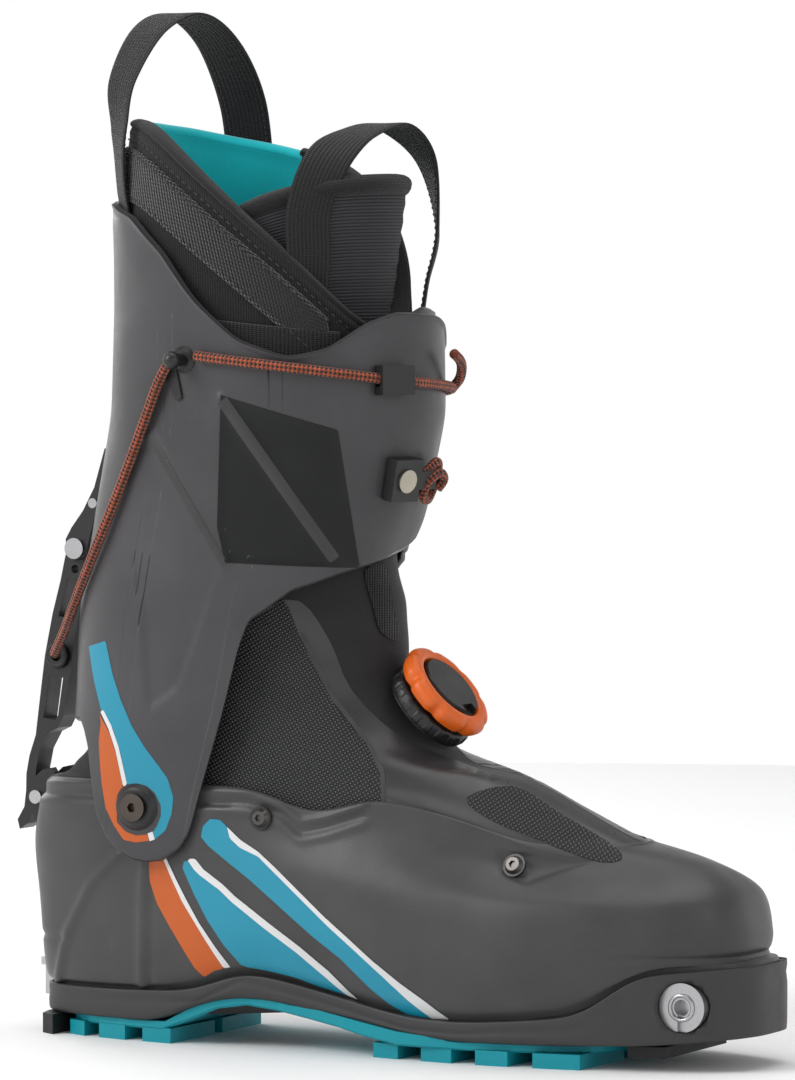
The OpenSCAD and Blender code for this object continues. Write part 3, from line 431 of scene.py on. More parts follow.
outer = loft(O, 16); outer += normals(outer) * shell_disp(outer)[..., None]
rim = outer[-1]; tn = inset(rim, 0.5, 0.55), inset(rim, 1.2, 0.8), inset(rim, 1.9, 0.5)
inner = loft([inset(O[6], ST, -0.3), inset(O[5], ST, -1.6), inset(O[4], ST, -1), inset(O[3], ST), inset(O[2], ST, 0.3), inset(O[1], ST, 0.5), inset(O[0], ST, 2.4)], 5)
shell = grid("shell_skin", np.concatenate([outer, np.array(tn), inner]), M_shell, None, wv=True)
for sg in (-1, 1):
    cut(shell, cyl((274, sg * 23.8, 24), (274, sg * 60, 24), 9.3))
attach(shell, "lower_boot"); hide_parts("lower_shell")
B_shell = bvh_of(shell)

fr = loft([at_z(inset(TRAY, 3.2), ZFB), at_z(inset(TRAY, 1.2), ZFB, 0.3), at_z(TRAY, ZFB, 2), at_z(TRAY, ZFT, -1.2), at_z(inset(TRAY, 0.5), ZFT, -0.2), at_z(inset(TRAY, 1.4), ZFT, 0.05), at_z(inset(TRAY, 2.5), ZFT, -0.2)], 6)
q = LZ(fr).reshape(-1, 2); zf = look(fr[..., 0].ravel(), ZFT); hx = fr[..., 0].ravel()
gr = np.where((np.abs(fr[..., 2].ravel() - zf + 4.2) < 3), -0.5 * np.exp(-((fr[..., 2].ravel() - zf + 4.2) / 0.8) ** 2), 0)
fr += normals(fr) * gr.reshape(fr.shape[:2])[..., None]
sole = grid("sole_frame_skin", fr, M_frame, None, cap=True)
for sg in (-1, 1):
    cut(sole, cyl((274, sg * 23.8, 24), (274, sg * 60, 24), 9.3))
bx = mesh("cutter", [[x, y, z] for x in (-8, 7) for y in (-15.2, 15.2) for z in (12.8, 27.7)], [[0, 1, 3, 2], [4, 6, 7, 5], [0, 4, 5, 1], [2, 3, 7, 6], [0, 2, 6, 4], [1, 5, 7, 3]], M_frame)
cut(sole, bx)
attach(sole, "lower_boot"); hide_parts("sole_frame")

# ------------------------------------------------------------------ cuff
CZ = [60, 92, 129, 164, 185, 202, 237, 275, 316, 330]
CR = [6, 9, 11.6, 13.2, 17.6, 20.8, 26.5, 27.5, 27, 27]; CF = [106, 114, 128, 138, 143, 149, 157.5, 157, 155, 155]
CH = [AW, AW, AW + 0.6, 49, 49.6, 50.4, 52, 53, 52, 52]; CQ = [0.35, 0.35, 0.42, 0.6, 0.75, 0.85, 0.95, 1, 1, 1]
zz = np.arange(40, 340, 0.5)
tabs = [gs(np.interp(zz, CZ, t), 8, False) for t in (CR, CF, CH, CQ)]


def cuffp(a, z, d):
    a = np.radians(a); cr_, cf, ch, q_ = [np.interp(z, zz, t) for t in tabs]
    c, ra, rb = (cr_ + cf) / 2, (cf - cr_) / 2 - d, ch - d
    ex = np.where(np.cos(a) < 0, np.maximum(q_, 0.85), q_ + np.clip(1 - np.cos(a) / 0.12, 0, 1) * (np.maximum(q_, 0.85) - q_) * 0.5)
    return np.stack([c + ra * np.cos(a), rb * np.sign(np.sin(a)) * np.abs(np.sin(a)) ** ex, z + 0 * a], -1)


ZB = [[-25, 203], [0, 193], [28, 181], [48, 173], [63, 161], [65.5, 146], [66, 125], [66.5, 100], [68, 82], [72, 75], [79, 71], [86, 70], [94, 71], [102.5, 74], [108.5, 77.5], [117.4, 87], [123, 98], [129, 111], [134, 117], [141, 122], [150, 121], [180, 118],
      [210, 121], [219, 122], [226, 117], [231, 111], [237, 98], [242.6, 87], [251.5, 77.5], [257.5, 74], [266, 71], [274, 70], [281, 71], [288, 75], [292, 82], [293.5, 100], [294, 125], [294.5, 146], [297, 161], [312, 173], [332, 179], [355, 184], [370, 190], [378, 199], [385, 216]]
ZT = [[-25, 270], [0, 277], [22, 275], [35, 271], [50, 262], [64, 258.5], [81, 265], [97, 280], [111, 298], [128, 311], [150, 316], [180, 317], [210, 316], [232, 311], [249, 298], [263, 280], [279, 265], [296, 258.5], [310, 261.5], [325, 271], [338, 275], [365, 274], [378, 270], [385, 262]]


def lap(a): return np.where(a < 28, CT + 0.9, np.where(a > 62, 0, (CT + 0.9) * (1 + np.cos(np.pi * np.clip((a - 28) / 34, 0, 1))) / 2))


aa = np.unique(np.concatenate([np.arange(-25, 385.01, 0.9), np.arange(62, 70, 0.25), np.arange(104, 116, 0.4), np.arange(244, 256, 0.4), np.arange(290, 299, 0.25)]))
a3 = np.arange(-25, 385.01, 0.25); zb = np.interp(aa, a3, gs(look(a3, ZB), 3, False)); zt = np.interp(aa, a3, gs(look(a3, ZT), 9, False))
vv = np.sin(np.linspace(0, 1, 64) * np.pi / 2)[:, None]; v2 = np.sin(np.linspace(0, 1, 52)[1:] * np.pi / 2)[:, None]
Zg = np.concatenate([222 - (222 - zb)[None] * (1 - (1 - np.cos(np.linspace(0, 1, 64)[:, None] * np.pi / 2)) * 0.35 - np.linspace(0, 1, 64)[:, None] * 0.65), 222 + (zt - 222)[None] * v2]); Ag = np.broadcast_to(aa[None], Zg.shape)
PENT = [(61.5, 245), (105, 232.2), (113, 180.5), (88, 181.6), (62.9, 182.6), (60, 196)]
RIB1 = [(61.9, 243.1), (103.8, 183.7)]; RIB2 = [(34.5, 229.6), (62.9, 181.8)]
VCUT = [(64, 186), (59.2, 172.4), (45.9, 134.8), (34.5, 126.1), (31.8, 130.5), (29.5, 167.8), (27, 186)]
CREASE = [(62.9, 181.8), (59.2, 172.4), (45.9, 134.8), (34.5, 126.1), (31.8, 130.5), (29.5, 167.8), (24.8, 190)]
SPINE = [(21.5, 308.2), (34.5, 283.8), (25.7, 268.7), (24.5, 242.3), (26.7, 212.5)]


def cuff_disp(P, A_, Z_):
    q = LZ(P).reshape(-1, 2); d = pdist(q, PENT, True); s = inside(q, PENT)
    h = np.where(s, -0.9 * np.clip(d / 2.5, 0, 1), 0)
    h += 1.1 * np.exp(-(pdist(q, RIB1) / 2.6) ** 2) + 1.0 * np.exp(-(pdist(q, RIB2) / 2.4) ** 2)
    dc = pdist(q, VCUT[:-1]); h -= np.where(inside(q, VCUT), 1.3 * np.clip(dc / 2.6, 0, 1) * np.clip((188 - q[:, 1]) / 32, 0, 1), 0)
    h += 0.35 * np.exp(-(pdist(q, SPINE) / 4.5) ** 2)
    nf = 1 - np.clip((A_.ravel() < 40), 0, 1)
    h += 0.7 * nf * (np.exp(-((zt[None] - Z_).ravel() / 1.6) ** 2))
    return h.reshape(P.shape[:2])


oc = cuffp(Ag, Zg, lap(Ag)); nc = normals(oc, False); oc = oc + nc * cuff_disp(oc, Ag, Zg)[..., None]
ic = cuffp(Ag, Zg, lap(Ag) + CT)
# rounded edges
e_t = (oc[-1] + ic[-1]) / 2 + [0, 0, 0.8]; e_b = (oc[0] + ic[0]) / 2 - [0, 0, 0.8]
oc[-1] -= [0, 0, 0.25]; oc[0] += [0, 0, 0.25]
C_ = np.concatenate([oc, e_t[None], ic[::-1], e_b[None]]); m_, n_ = C_.shape[:2]
cuff = grid("cuff_skin", C_, M_cuff, None, wu=False, wv=True)
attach(cuff, "cuff_body"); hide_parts("cuff")
B_cuff = bvh_of(cuff)
decal("cuff_window", PENT, [B_cuff], M_panel, "cuff_body", 0.12)
decal("cuff_rib1", [(60.3, 241.9), (63.8, 244.4), (105.4, 185), (102, 182.6)], [B_cuff], M_frame, "cuff_body", 0.26)
decal("cuff_rib2", [(33.2, 229), (35.6, 230.4), (64, 182.6), (61.6, 181.2)], [B_cuff], M_film, "cuff_body", 0.12)
decal("hook_foot", [(39.8, 254.7), (45.1, 254.7), (47.3, 243.5), (45, 242.6)], [B_cuff], M_blackr, "cuff_body", 0.9)

# ------------------------------------------------------------------ painted graphics
DEC = [
    ("arm_teal", "cuff", M_blue, [(10.4, 149), (11.4, 142.4), (12.7, 135.6), (15.3, 125.6), (15.9, 124.6), (19.9, 119.3), (22.7, 111.5), (25.6, 98.2), (29, 98.8), (33, 98.2), (36.2, 95.6), (38.5, 91), (38.5, 87.1), (37, 83.1), (35.4, 80.7), (36.2, 78.1), (40.2, 81.6), (42.6, 88), (43.2, 94.3), (41, 101.3), (37, 106.6), (32.2, 112.7), (27.4, 120.3), (23.3, 129.4), (19.9, 139.4), (17.2, 151.7)]),
    ("arm_white", "cuff", M_white, [(15.2, 124.7), (18.4, 118.5), (21.1, 110.7), (24.1, 97.3), (25.6, 98.2), (22.3, 112.3), (19.4, 120.1), (16.2, 125.8)]),
    ("arm_white2", "cuff", M_white, [(33.4, 80.2), (34.2, 77.3), (36.2, 78.1), (35.3, 81)]),
    ("arm_orange", "cuff", M_orng, [(14.9, 123.5), (15.3, 120.9), (14.5, 113.9), (14.9, 106.1), (15.6, 98.3), (17.2, 88.9), (20.3, 82.7), (24.2, 77.3), (29, 76.6), (34, 77.5), (33.3, 79.9), (29, 79.2), (25, 80.5), (21.7, 83.8), (21.5, 90.5), (21.8, 94), (22.9, 96.1), (24, 97.3), (21.1, 110), (18.4, 117.8)]),
    ("shell_orange", "shell", M_orng, [(33.4, 74.4), (33.5, 70.5), (33.9, 61.9), (36.8, 53.4), (41.6, 45.1), (47.2, 35.9), (51.1, 29.7), (54.6, 26.4), (58.3, 29), (62.1, 30.3), (56, 39.6), (51.2, 47.3), (46.4, 54.9), (42.4, 63.2), (38.8, 71.2), (37.6, 74.7)]),
    ("shell_white1", "shell", M_white, [(37.6, 74.7), (38.8, 71.2), (42.4, 63.2), (46.4, 54.9), (51.2, 47.3), (56, 39.6), (62.1, 30.3), (64.6, 30.9), (59.1, 38.2), (52.8, 47.4), (48, 55.8), (44, 63.3), (40, 71.5), (38.8, 74.8)]),
    ("shell_teal1", "shell", M_blue, [(47.2, 69.8), (46.6, 67.4), (51.2, 57.5), (56, 48.5), (62.3, 39.2), (68.6, 32), (71.4, 31.1), (78.1, 30.3), (89.4, 28.3), (98.3, 25.1), (108.7, 22.5), (99.9, 29.9), (89.5, 38.4), (77.5, 46.8), (68.7, 53.4), (65.5, 55.7), (60.8, 60), (53.4, 65), (51.2, 66.9), (48.7, 70.3)]),
    ("shell_white2", "shell", M_white, [(48.7, 70.3), (51.2, 66.9), (53.4, 65), (60.8, 60), (65.5, 55.7), (68.7, 53.4), (77.5, 46.8), (89.5, 38.4), (99.9, 29.9), (108.7, 22.5), (112.6, 21.2), (101.6, 32), (90.9, 40.6), (78.9, 49.1), (70, 55.6), (66.8, 57.9), (62, 62.2), (54.6, 67.4), (51.6, 71.1), (49.6, 71.2)]),
    ("shell_teal2", "shell", M_blue, [(53.7, 79.5), (56.4, 76.3), (64, 70.5), (71.5, 65), (79, 58.8), (86.5, 52.5), (95.5, 45), (105.8, 37.3), (116.9, 26.6), (124.2, 20.8), (131.2, 16.6), (139.6, 16.2), (130.8, 23.1), (120.6, 32.3), (110.3, 41.4), (101.4, 49), (92.5, 57.3), (83.5, 65.7), (75.3, 73.3), (68.5, 76.2), (64.7, 79.4), (63.6, 83.7), (60.9, 86.2), (57.1, 86.4), (54.3, 83.3)]),
    ("shell_white3", "shell", M_white, [(63.6, 83.7), (64.7, 79.4), (68.5, 76.2), (75.3, 73.3), (83.5, 65.7), (92.5, 57.3), (101.4, 49), (110.3, 41.4), (120.6, 32.3), (130.8, 23.1), (139.6, 16.2), (146.2, 16.3), (137.4, 22.9), (127.9, 29.4), (117.6, 37.4), (108.8, 45.1), (99.9, 52.6), (91, 60.9), (82, 69.3), (75.3, 75.1), (68.5, 79.2)]),
]
B_sole = bvh_of(sole)
for nm, host, mt, poly in DEC:
    decal(nm, poly, [B_cuff] if host == "cuff" else [B_shell], mt, "cuff_body" if host == "cuff" else "lower_boot", (0.12 if host == "cuff" else 0.24) + 0.04 * (mt is M_white))

# ------------------------------------------------------------------ gaiter


def mixr(a, b, k): return a * (1 - k) + b * k


G = [inset(mixr(O[5], O[6], 0.35), 2.75, -1.5), inset(O[6], 2.75, 0.3),
     ring([5, 220, 37.6, -0.18, 0.86, 0, 1, [[5, 99.5], [100, 103], [150, 101], [190, 95], [220, 90.5]]]),
     ring([8, 196, 37.2, -0.14, 0.9, 0, 1, [[8, 103], [90, 110], [150, 108], [196, 101.5]]]),
     ring([11.4, 168, 37, -0.06, 0.92, 0, 0, [[11.4, 106], [85, 117], [140, 116], [168, 109.5]]]),
     ring([14, 147.5, 37, 0, 0.94, 0, 0, [[14, 109], [80, 124], [147.5, 131]]]),
     ring([16.8, 144, 37, 0, 0.94, 0, 0, [[16.8, 112], [75, 130], [144, 150]]]),
     ring([21, 143, 37.5, 0, 0.95, 0, 0, [[21, 134], [75, 150], [143, 168]]]),
     ring([20, 137.4, 41.4, 0, 0.96, 0, 0, [[20, 166], [75, 178], [137.4, 190]]]),
     ring([24.6, 143, 44.4, 0, 0.96, 0, 0, [[24.6, 200], [75, 206], [143, 214]]])]
GB = (("lower_boot", "cuff_body"), dict(start=(-0.063, 0, 0.133), end=(-0.0772, 0, 0.181)))
gt = loft(G, 14)
X, Y, Z = gt[..., 0], gt[..., 1], gt[..., 2]
wr = 0.7 * np.sin(Z / 5.5 + 1.7 * np.sin(X / 17) + Y / 21) * np.sin(X / 23 + Z / 31) + 0.35 * np.sin(Z / 3.1 + X / 9 + 1.3 * np.sin(Y / 11))
wr *= np.clip((Z - 112) / 25, 0, 1) * np.clip((205 - Z) / 20, 0, 1) * np.clip((np.hypot(X - 154.5, Z - 126.5) - 22) / 12, 0, 1)
gt = gt + normals(gt) * wr[..., None]
gi = gt - normals(gt) * 1.1
gait = grid("gaiter_skin", np.concatenate([gt, gi[::-1]]), M_soft, None, wv=True)
gc = cyl(tuple(np.array([154.5, 0, 126.5]) - 9 * np.array([0.758, 0, 0.652])), tuple(np.array([154.5, 0, 126.5]) + 9 * np.array([0.758, 0, 0.652])), 7.9)
cut(gait, gc)
B_gait = bvh_of(gait)
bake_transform(gait)
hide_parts("gaiter_vamp", "gaiter_collar")


def px(*p): return [(127 + (u - 397.5) / 2.68, 298 - (v - 252) / 2.68) for u, v in p]


decal("gaiter_film", px((262, 606), (300, 600), (330, 640), (352, 690), (400, 735), (470, 765), (520, 780), (560, 800), (650, 846), (600, 866), (540, 856), (470, 836), (385, 815), (370, 742), (332, 700), (300, 635), (284, 602)), [B_gait], M_film, None, 0.14, smooth_n=3, blend=GB)
decal("gaiter_mesh", px((196, 770), (206, 690), (216, 655), (232, 632), (258, 606), (284, 600), (300, 635), (332, 700), (366, 742), (380, 768), (382, 800), (330, 815), (240, 832)), [B_gait], M_mesh, None, 0.22, smooth_n=3, blend=GB)
decal("gaiter_mesh_line", px((300, 632), (304, 632), (336, 697), (370, 739), (385, 767), (386, 798), (382, 800), (380, 768), (366, 742), (332, 700)), [B_gait], M_stitch, None, 0.35, blend=GB)
decal("gaiter_velcro_skin", px((364, 572), (384, 566), (390, 600), (398, 640), (380, 632), (372, 606)), [B_gait], M_velc, None, 0.8, smooth_n=3, both=False, blend=GB)
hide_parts("gaiter_velcro")
decal("gaiter_vent", px((466, 792), (512, 782), (560, 808), (618, 842), (596, 850), (540, 832), (488, 812)), [B_gait, B_shell], M_mesh, "lower_boot", 0.25, smooth_n=3)

# ------------------------------------------------------------------ liner


def leg(xr, xf, w, zr, zf, e=0.95): return ring([xr, xf, w, 0, e, 0, 0, [[xr, zr], [xf, zf]]])


LU = [leg(25, 134, 37, 150, 185), leg(28, 138, 41, 185, 210), leg(32, 143, 44, 235, 245), leg(32.5, 143.5, 45, 280, 276), leg(32.5, 142, 45, 318, 306), leg(34, 140.5, 44, 348, 318)]
deg = np.degrees(A)
# height of the wrap's top edge round the leg: high at the rear and on the inner side, falling to the front on the outer side
TOPZ = gs(look(deg, [[0, 268], [12, 276], [22, 287], [40, 305], [60, 322], [75, 331], [95, 337], [110, 340], [150, 346], [180, 348], [222, 347], [235, 344], [250, 336], [270, 322], [290, 306], [300, 298], [315, 285], [330, 274], [345, 268], [360, 268]]), 8)
full = loft(LU, 12)


def leg_at(z):
    """ring points at height z(i) for each column"""
    out = np.empty((N, 3)); zc = full[..., 2]
    for i in range(N):
        o = np.argsort(zc[:, i]); out[i] = [np.interp(z[i], zc[o, i], full[o, i, 0]), np.interp(z[i], zc[o, i], full[o, i, 1]), z[i]]
    return out


zlo = full[0, :, 2] + 3
rows = [leg_at(zlo + (TOPZ - 4 - zlo) * f) for f in np.linspace(0, 1, 90)]
lu = np.array(rows)
q = LZ(lu).reshape(-1, 2); lat = (lu[..., 1].ravel() < 5)
dtop = (TOPZ[None] - lu[..., 2])
puff = 0.5 * np.sin(np.clip(dtop, 0, 60) / 60 * np.pi) - 0.9 * np.exp(-((dtop - 26) / 1.2) ** 2) - 0.6 * np.exp(-((dtop - 7) / 0.9) ** 2)
lu = lu + normals(lu) * puff[..., None]
top = lu[-1]; rimr = [inset(top, 0.7, 1.6), inset(top, 2.0, 3.0), inset(top, 3.8, 3.6), inset(top, 5.6, 3.0), inset(top, 6.8, 1.6)]
lin_in = np.array([inset(leg_at(zlo + (TOPZ - 4.5 - zlo) * f), 7.2) for f in np.linspace(1, 0, 40)])
rim_g = np.concatenate([lu[-1:], np.array(rimr), lin_in[:1]])
wrap = grid("liner_wrap", np.concatenate([lu, np.array(rimr), lin_in[:1]]), M_knit, None)
wrap.data.materials.append(M_teal_f)
colm = (deg > 95) & (deg < 206)
for p_ in wrap.data.polygons:
    r_, c_ = divmod(p_.index, N)
    if r_ >= 91 and colm[c_]: p_.material_index = 1
sd = wrap.modifiers.new("t", "SOLIDIFY"); sd.thickness = 0.0006; sd.offset = -1
lining = grid("liner_lining_skin", np.concatenate([inset(lin_in[0], 0.05, 0.1)[None], lin_in]), M_teal_f, None)
lining.data.materials.append(M_knit)
for p_ in lining.data.polygons:
    if not 95 < deg[p_.index % N] < 345: p_.material_index = 1
sd = lining.modifiers.new("t", "SOLIDIFY"); sd.thickness = 0.0008; sd.offset = -1
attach(wrap, "cuff_body"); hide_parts("liner_upper")
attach(lining, "cuff_body"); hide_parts("liner_lining")
# binding tape on the rim
bt = inset(top, 3.7, 3.0)
bsel = np.concatenate([np.arange(np.searchsorted(deg, 204), N), np.arange(0, np.searchsorted(deg, 97))])
tube("liner_binding", gs(bt, 2)[bsel], 1.9, M_bind, "cuff_body", 14, prof=lambda a: (1.9 * np.cos(a), np.sin(a)))
# textured fleece strip below the falling edge, with a row of stitches each side
i0, i1 = np.searchsorted(deg, 200), np.searchsorted(deg, 318)
sel = np.arange(i0, i1)


def band(o, d0, d1, k=10):
    rws = []
    for f in np.linspace(0, 1, k):
        r = leg_at(TOPZ - d0 - (d1 - d0) * f); rws.append(inset(r, -o)[sel])
    return np.array(rws[::-1])


vb = band(0.7, 9.5, 30); vb2 = band(2.0, 10.3, 29.2)
vel = grid("liner_fleece", np.concatenate([vb[:1], vb2, vb[-1:]]), M_fuzz, None, wu=False)
sd = vel.modifiers.new("t", "SOLIDIFY"); sd.thickness = 0.0008; sd.offset = -1
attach(vel, "cuff_body"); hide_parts("liner_velcro")


def stitches(name, P, mat, body, L_=2.2, gap=1.3, r=0.32, up=0.15):
    P = resample(P, 0.5); d = 0.5; seg = int(L_ / d); st = int((L_ + gap) / d); V, F = [], []
    for s in range(0, len(P) - seg - 1, st):
        pts = P[s:s + seg + 1]; T = pts[-1] - pts[0]; T /= max(np.linalg.norm(T), 1e-6)
        U = np.cross(T, [0, 0, 1.0]); U /= max(np.linalg.norm(U), 1e-6); W = np.cross(U, T); b0 = len(V); k = 6
        for j, p in enumerate(pts):
            rr = r * math.sin(math.pi * (j + 0.6) / (len(pts) + 0.2)) ** 0.5
            for a in range(k): V.append(p + rr * (U * math.cos(a * 2 * math.pi / k) + W * math.sin(a * 2 * math.pi / k)))
        for j in range(len(pts) - 1):
            for a in range(k): F.append([b0 + j * k + a, b0 + j * k + (a + 1) % k, b0 + (j + 1) * k + (a + 1) % k, b0 + (j + 1) * k + a][::-1])
        F.append([b0 + a for a in range(k)]); F.append([b0 + (len(pts) - 1) * k + a for a in range(k)][::-1])
    return mesh(name, V, F, mat, body)


stitches("stitch_fleece_a", inset(leg_at(TOPZ - 11.6), -2.2)[sel], M_stitch, "cuff_body")
stitches("stitch_fleece_b", inset(leg_at(TOPZ - 27.6), -2.2)[sel], M_stitch, "cuff_body")
stitches("stitch_edge", inset(leg_at(TOPZ - 6.8), -0.35)[i0 - 90:i1 + 20], M_stitch, "cuff_body")
# tongue: a ribbed pad at the front, inside the wrap
tz, ta = np.linspace(0, 1, 60), np.radians(np.linspace(-84, 66, 110))
TT = []
for f in np.concatenate([tz]):
    zc = 196 + (321 - 196) * f; c0 = np.array([86.0, 0]); rx, ry = np.interp(zc, [196, 245, 276, 321], [47, 49.5, 51, 57.5]), np.interp(zc, [196, 245, 276, 321], [34, 36.5, 37.4, 37.6])
    zrow = zc + 1.5 * np.cos(ta) * f - 7 * f * (np.abs(ta) / 1.3) ** 4
    TT.append(np.stack([c0[0] + rx * np.cos(ta) + 0.25 * np.sin(zrow * 0.9), ry * np.sin(ta), zrow], 1))
TT = np.array(TT); nT = normals(TT, False); tin = TT - nT * 6
edge = lambda s: (TT[s] + tin[s]) / 2
tong = grid("liner_tongue", np.concatenate([TT, (TT[-1:] + tin[-1:]) / 2 + [0, 0, 1.8], tin[::-1]]), M_rib, None, wu=False, wv=True)
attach(tong, "cuff_body")
tube("tongue_binding", (TT[-1] + tin[-1]) / 2 + [0, 0, 0.4], 1.0, M_bind, "cuff_body", 16, prof=lambda a: (4.6 * np.cos(a), 3.4 * np.sin(a) * (1 + 0.5 * (np.sin(a) > 0))))
# strap round the liner
sa2 = np.radians(np.linspace(216, 322, 120))
st_o = [np.stack([87.7 + (57.4 + o) * np.cos(sa2), (46.6 + o) * np.sin(sa2), z - 6 * (np.cos(sa2) + 0.3) + 0 * sa2], 1) for o, z in ((0, 258.5), (1.0, 259.2), (1.0, 273.8), (0, 274.5))]
strap = grid("liner_strap_skin", loft(np.array(st_o), 3), M_web, None, wu=False)
sd = strap.modifiers.new("t", "SOLIDIFY"); sd.thickness = 0.0006; sd.offset = -1
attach(strap, "cuff_body"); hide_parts("liner_strap")
# hidden liner parts
LF = loft([leg(17, 136, 32, 109.6, 146.5), leg(23.4, 135, 33, 130, 160), leg(25, 134, 37, 149.6, 184.6)], 8)[:, ::4]
lf = grid("liner_ankle", np.concatenate([LF, (LF - normals(LF) * 5)[::-1]]), M_knit, None, wv=True)
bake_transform(lf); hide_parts("liner_flex")
LO = [inset(O[0], 4, 3.4), inset(O[1], 4.4, -0.4), inset(O[2], 4.4, 0.4), inset(O[3], 4), inset(O[4], 4, -2), inset(O[5], 5, -4), inset(G[1], 4, -3), inset(G[2], 4.2, -3), inset(G[3], 4.4, -3.2), inset(G[4], 4.6, -3.2), inset(G[5], 4.8, -3)]
LO = [r[::4] for r in LO]
LI = [inset(LO[k], 4 if k < 3 else 5.5, 4 if k < 1 else 2 if k < 3 else -1) for k in range(11)]
ll = grid("liner_foot", np.concatenate([loft(LO, 3), loft(LI[::-1], 3)]), M_knit, "lower_boot", cap=True)
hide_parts("liner_lower")
fb = np.array([inset(LI[0], 1.2, 0.3), inset(LI[0], 1.0, 1.2), inset(LI[0], 1.6, 2.9), inset(LI[0], 2.6, 3.2)])
fbo = grid("footbed_skin", fb, M_foot, "lower_boot", cap=True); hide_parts("footbed")

# ------------------------------------------------------------------ webbing loops


def web(name, P, across, w_, t_, node, mat=M_web):
    Q = smooth(P, 14); Ac = smooth(across, 14); T = np.gradient(Q, axis=0); T /= np.linalg.norm(T, axis=1, keepdims=True)
    a = Ac - T * (Ac * T).sum(1, keepdims=True); a /= np.linalg.norm(a, axis=1, keepdims=True); b = np.cross(T, a)
    th = np.linspace(0, 2 * np.pi, 28, endpoint=False); cx = np.sign(np.cos(th)) * np.abs(np.cos(th)) ** 0.35; cy = np.sign(np.sin(th)) * np.abs(np.sin(th)) ** 0.7
    sag = 0.9 * np.sin(np.pi * (cx[None] + 1) / 2)
    P_ = Q[:, None] + a[:, None] * (cx * w_ / 2)[None, :, None] + b[:, None] * (cy[None] * t_ / 2 + 0 * sag)[..., None]
    o = grid(name, P_, mat, "cuff_body", cap=True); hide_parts(node)
    for s, k in ((-1, "a"), (1, "b")):
        stitches(f"{name}_edge_{k}", Q + a * s * (w_ / 2 - 2.2) + b * (t_ / 2 + 0.05) * 1.0, M_stitch, "cuff_body", 1.4, 1.1, 0.22)
    return o


web("loop_rear", [[41.2, -26.5, 298], [41.2, -26.3, 310], [40.6, -28.8, 321], [40, -29.6, 334], [39.4, -28.4, 346], [38.5, -24, 363], [42, -10, 382], [48, 6, 388], [54, 22, 378], [57.5, 36, 355], [58.4, 41.2, 326]],
    [[1, -1.28, 0], [1, -1.28, 0], [1, -1.28, 0], [1, -1.2, 0], [1, -0.9, 0], [1, -0.5, 0], [1, -0.2, 0], [1, 0, 0], [1, 0.1, 0], [1, 0.45, 0], [1, 0.5, 0]], 18, 1.6, "rear_loop")
web("loop_front", [[120, -31.6, 276], [121.4, -31.6, 296], [121.6, -31.4, 314], [125.6, -24, 332], [129.6, -8, 342], [136, 10, 345], [142.6, 24, 332], [146.4, 25.8, 306], [144.2, 21.4, 286], [142.4, 18.5, 266]],
    [[1, 0.95, -0.25], [1, 0.95, -0.25], [1, 0.9, -0.25], [1, 0.5, -0.2], [1, 0.2, 0], [1, 0, 0], [0.8, -0.6, 0], [0.5, -1, 0], [0.5, -1, 0], [0.55, -1, 0]], 17, 1.6, "front_loop")

# ------------------------------------------------------------------ cord


def onc(a, z, o): return cuffp(np.array(float(a)), float(z), -o)


CORD = [onc(a, 259.6 - (a - 264) * 0.13, 2.6) for a in np.arange(264, 332.1, 3.4)] + [onc(a, 250.4 - (a - 337) * 0.08, 2.6) for a in np.arange(337, 400.1, 3.5)] + [onc(a, 244.6 - (a - 47) * 0.18, 2.6) for a in np.arange(47, 75.1, 3.5)]
cc = tube("cord_round", gs(resample(np.array(CORD), 1.2), 3, False), 1.95, M_cord, "cuff_body", 18)
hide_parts("cuff_cord")
tail = smooth([onc(24, 246.8, 2.6), onc(20, 250.5, 5.4), onc(16, 254.5, 6.6), onc(11.5, 257.5, 6.8), onc(6, 260.0, 6.2)], 10)
tl = tube("cord_tail", tail, 1.9, M_cord, "cuff_body", 18)
a0, z0 = 357.5, 212.5
lp = smooth([onc(352, 214.5, 3.0), onc(356, 215.5, 4.4), onc(360.5, 219.5, 5.0), onc(364, 217.5, 4.4), onc(364, 211, 4.2), onc(361, 205.5, 4.6), onc(357.5, 207, 5.2), onc(356.5, 212, 6.4), onc(360, 215.5, 8.0), onc(363, 213, 8.2), onc(361.5, 209.5, 7.4)], 8)
kn = tube("cord_knot", lp, 1.8, M_cord, "cuff_body", 16)
SP = smooth([[0.4, -10.9, 144], [10.2, -19.8, 154], onc(210, 165, 2.7), onc(225.5, 186, 2.7), onc(236, 210, 2.7), onc(244, 235, 2.7), onc(250, 249, 2.8), onc(254.2, 256, 3)], 10)
cs = tube("cord_lever", SP, 1.95, M_cord, None, 18)
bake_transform(cs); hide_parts("cord_span")
LC = [inset(G[5 - k], 1.6, -0.5)[int(N * (56 - 5 - k + 0.5) / 56)] for k in range(5)]
for s, k in ((1, "l"), (-1, "m")):
    o = tube("dial_lace_" + k, smooth(np.array(LC) * [1, s, 1], 8), 0.6, M_steel, "lower_boot", 10)
    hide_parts("dial_lace")

# ------------------------------------------------------------------ dial
DP, DT = np.array([154.5, 0, 126.5]), math.radians(49.3)


def dial_pts(r, th, z):
    x, y = r * np.cos(th), r * np.sin(th)
    return np.stack([DP[0] + x * math.cos(DT) + z * math.sin(DT), DP[1] + y, DP[2] - x * math.sin(DT) + z * math.cos(DT)], -1)


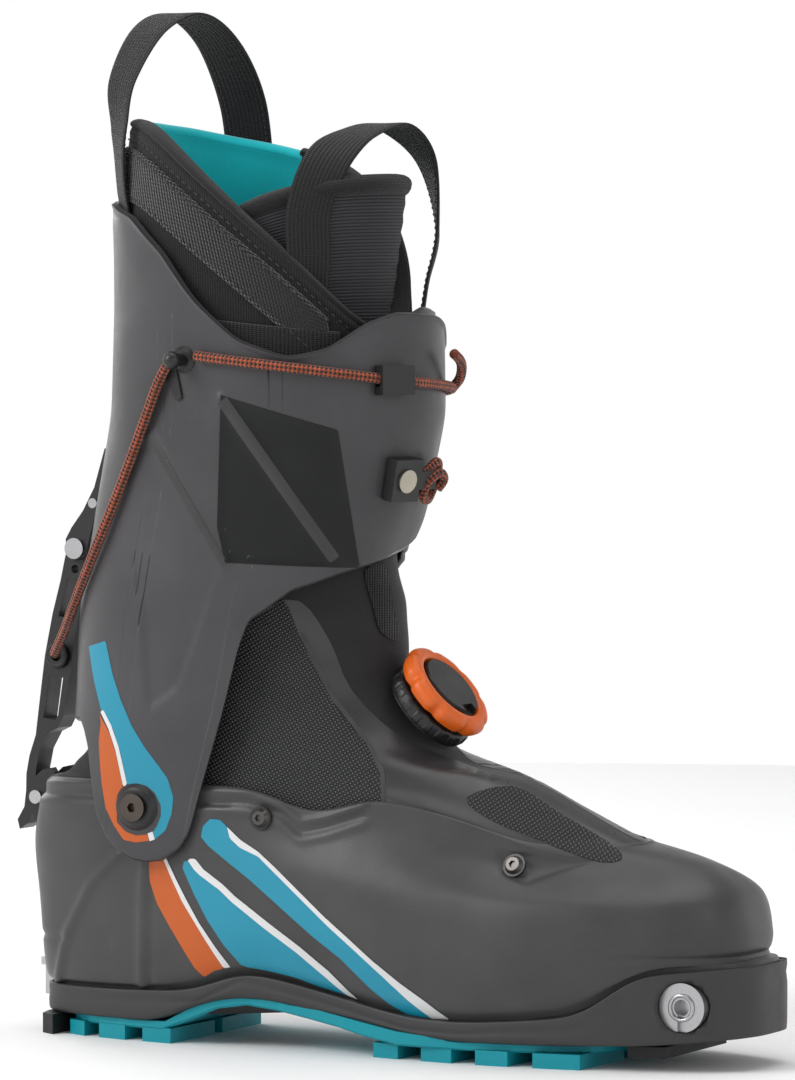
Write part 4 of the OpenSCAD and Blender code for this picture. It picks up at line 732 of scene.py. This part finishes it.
th = 2 * np.pi * np.arange(360) / 360
PR = [(17.0, 7.5), (18.2, 7.6), (19.0, 8.2), (19.6, 9.4), (20.0, 10.6), (19.9, 12), (19.3, 13.2), (18.2, 14.1), (16.8, 14.6), (15.2, 14.6), (14.2, 14.2), (13.7, 13.4), (13.5, 11.6), (13.4, 10.2)]
PRs = smooth([(a, b, 0) for a, b in PR], 4)
lob = 1 - np.exp(-((np.mod(th * 8 / (2 * np.pi), 1) - 0.5) / 0.13) ** 2)
gp = np.array([dial_pts(r - (1.5 * (1 - lob) if r > 15.4 else 0) * min(1, (r - 15.4) / 3), th, z) for r, z, _ in PRs])
gpi = np.array([dial_pts(0 * th + r, th, z) for r, z in ((13.2, 10.0), (9, 9.9), (5, 9.9), (5, 7.6), (12, 7.5))])
grip = grid("dial_grip_skin", np.concatenate([gp, gpi]), M_orange, None, wv=True)
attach(grip, "dial_knob"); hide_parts("dial_grip")
base_ = grid("dial_bezel", np.array([dial_pts(r - 0.5 * (np.sin(th * 20) > 0) * (i in (2, 3)), th, z) for i, (r, z) in enumerate([(17.3, 0.1), (17.9, 0.6), (18.4, 2.2), (18.3, 4.4), (17.6, 5.6), (16.4, 6.1), (14.8, 6.1), (14.4, 5.2), (14.4, 0.1)])]), M_black, "lower_boot", wv=True)

# raised ring round each toe socket
for s, k in ((-1, "l"), (1, "m")):
    rg = np.stack([274 + 4.5 * np.cos(A[::8]), 0 * A[::8] + s * 31.25, 24 + 4.5 * np.sin(A[::8])], 1)
    tube("socket_ring_" + k, rg, 0.75, M_steel, "lower_boot", 12, close=True, ref=(0, 1, 0))

# ------------------------------------------------------------------ CAD nodes that stay
MAT = dict(outsole=M_teal, heel_pad=M_blackr, toe_pad=M_blackr, toe_fitting_lateral=M_steel, toe_fitting_medial=M_steel, heel_fitting=M_steel, heel_fitting_screw=M_dark,
           pivot_bolts=M_brass, pivot_washers=M_black, pivot_bushes=M_brass, pivot_nuts=M_steel, heel_bracket=M_black, latch_pin=M_steel, gaiter_screws=M_dark, gaiter_washers=M_black,
           lace_guides=M_black, dial_base=M_black, dial_spool=M_steel, dial_ratchet=M_dark, dial_axle=M_steel, dial_cap=M_black, cord_hooks=M_black, cord_hook_rivets=M_steel, cord_guides=M_black,
           cord_anchor=M_black, anchor_rivet=M_bronze, lever_bracket=M_black, bracket_rivets=M_steel, lever_pin=M_steel, walk_lever=M_black, lever_grommet=M_blackr)
for n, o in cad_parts.items():
    if o.hide_render: continue
    o.data.materials.clear(); o.data.materials.append(MAT[n])
    for p in o.data.polygons: p.material_index = 0

# ------------------------------------------------------------------ floor
fl = bpy.data.meshes.new("floor"); fl.from_pydata([(1.35 * math.cos(i * math.pi / 48), 1.35 * math.sin(i * math.pi / 48), 0) for i in range(96)], [], [list(range(96))])
flo = bpy.data.objects.new("floor", fl); bpy.context.scene.collection.objects.link(flo)
fl.materials.append(plastic("floor", (0.9, 0.9, 0.9, 1), 0.7, 0.02, 300, 0.01, 3, 0.2))
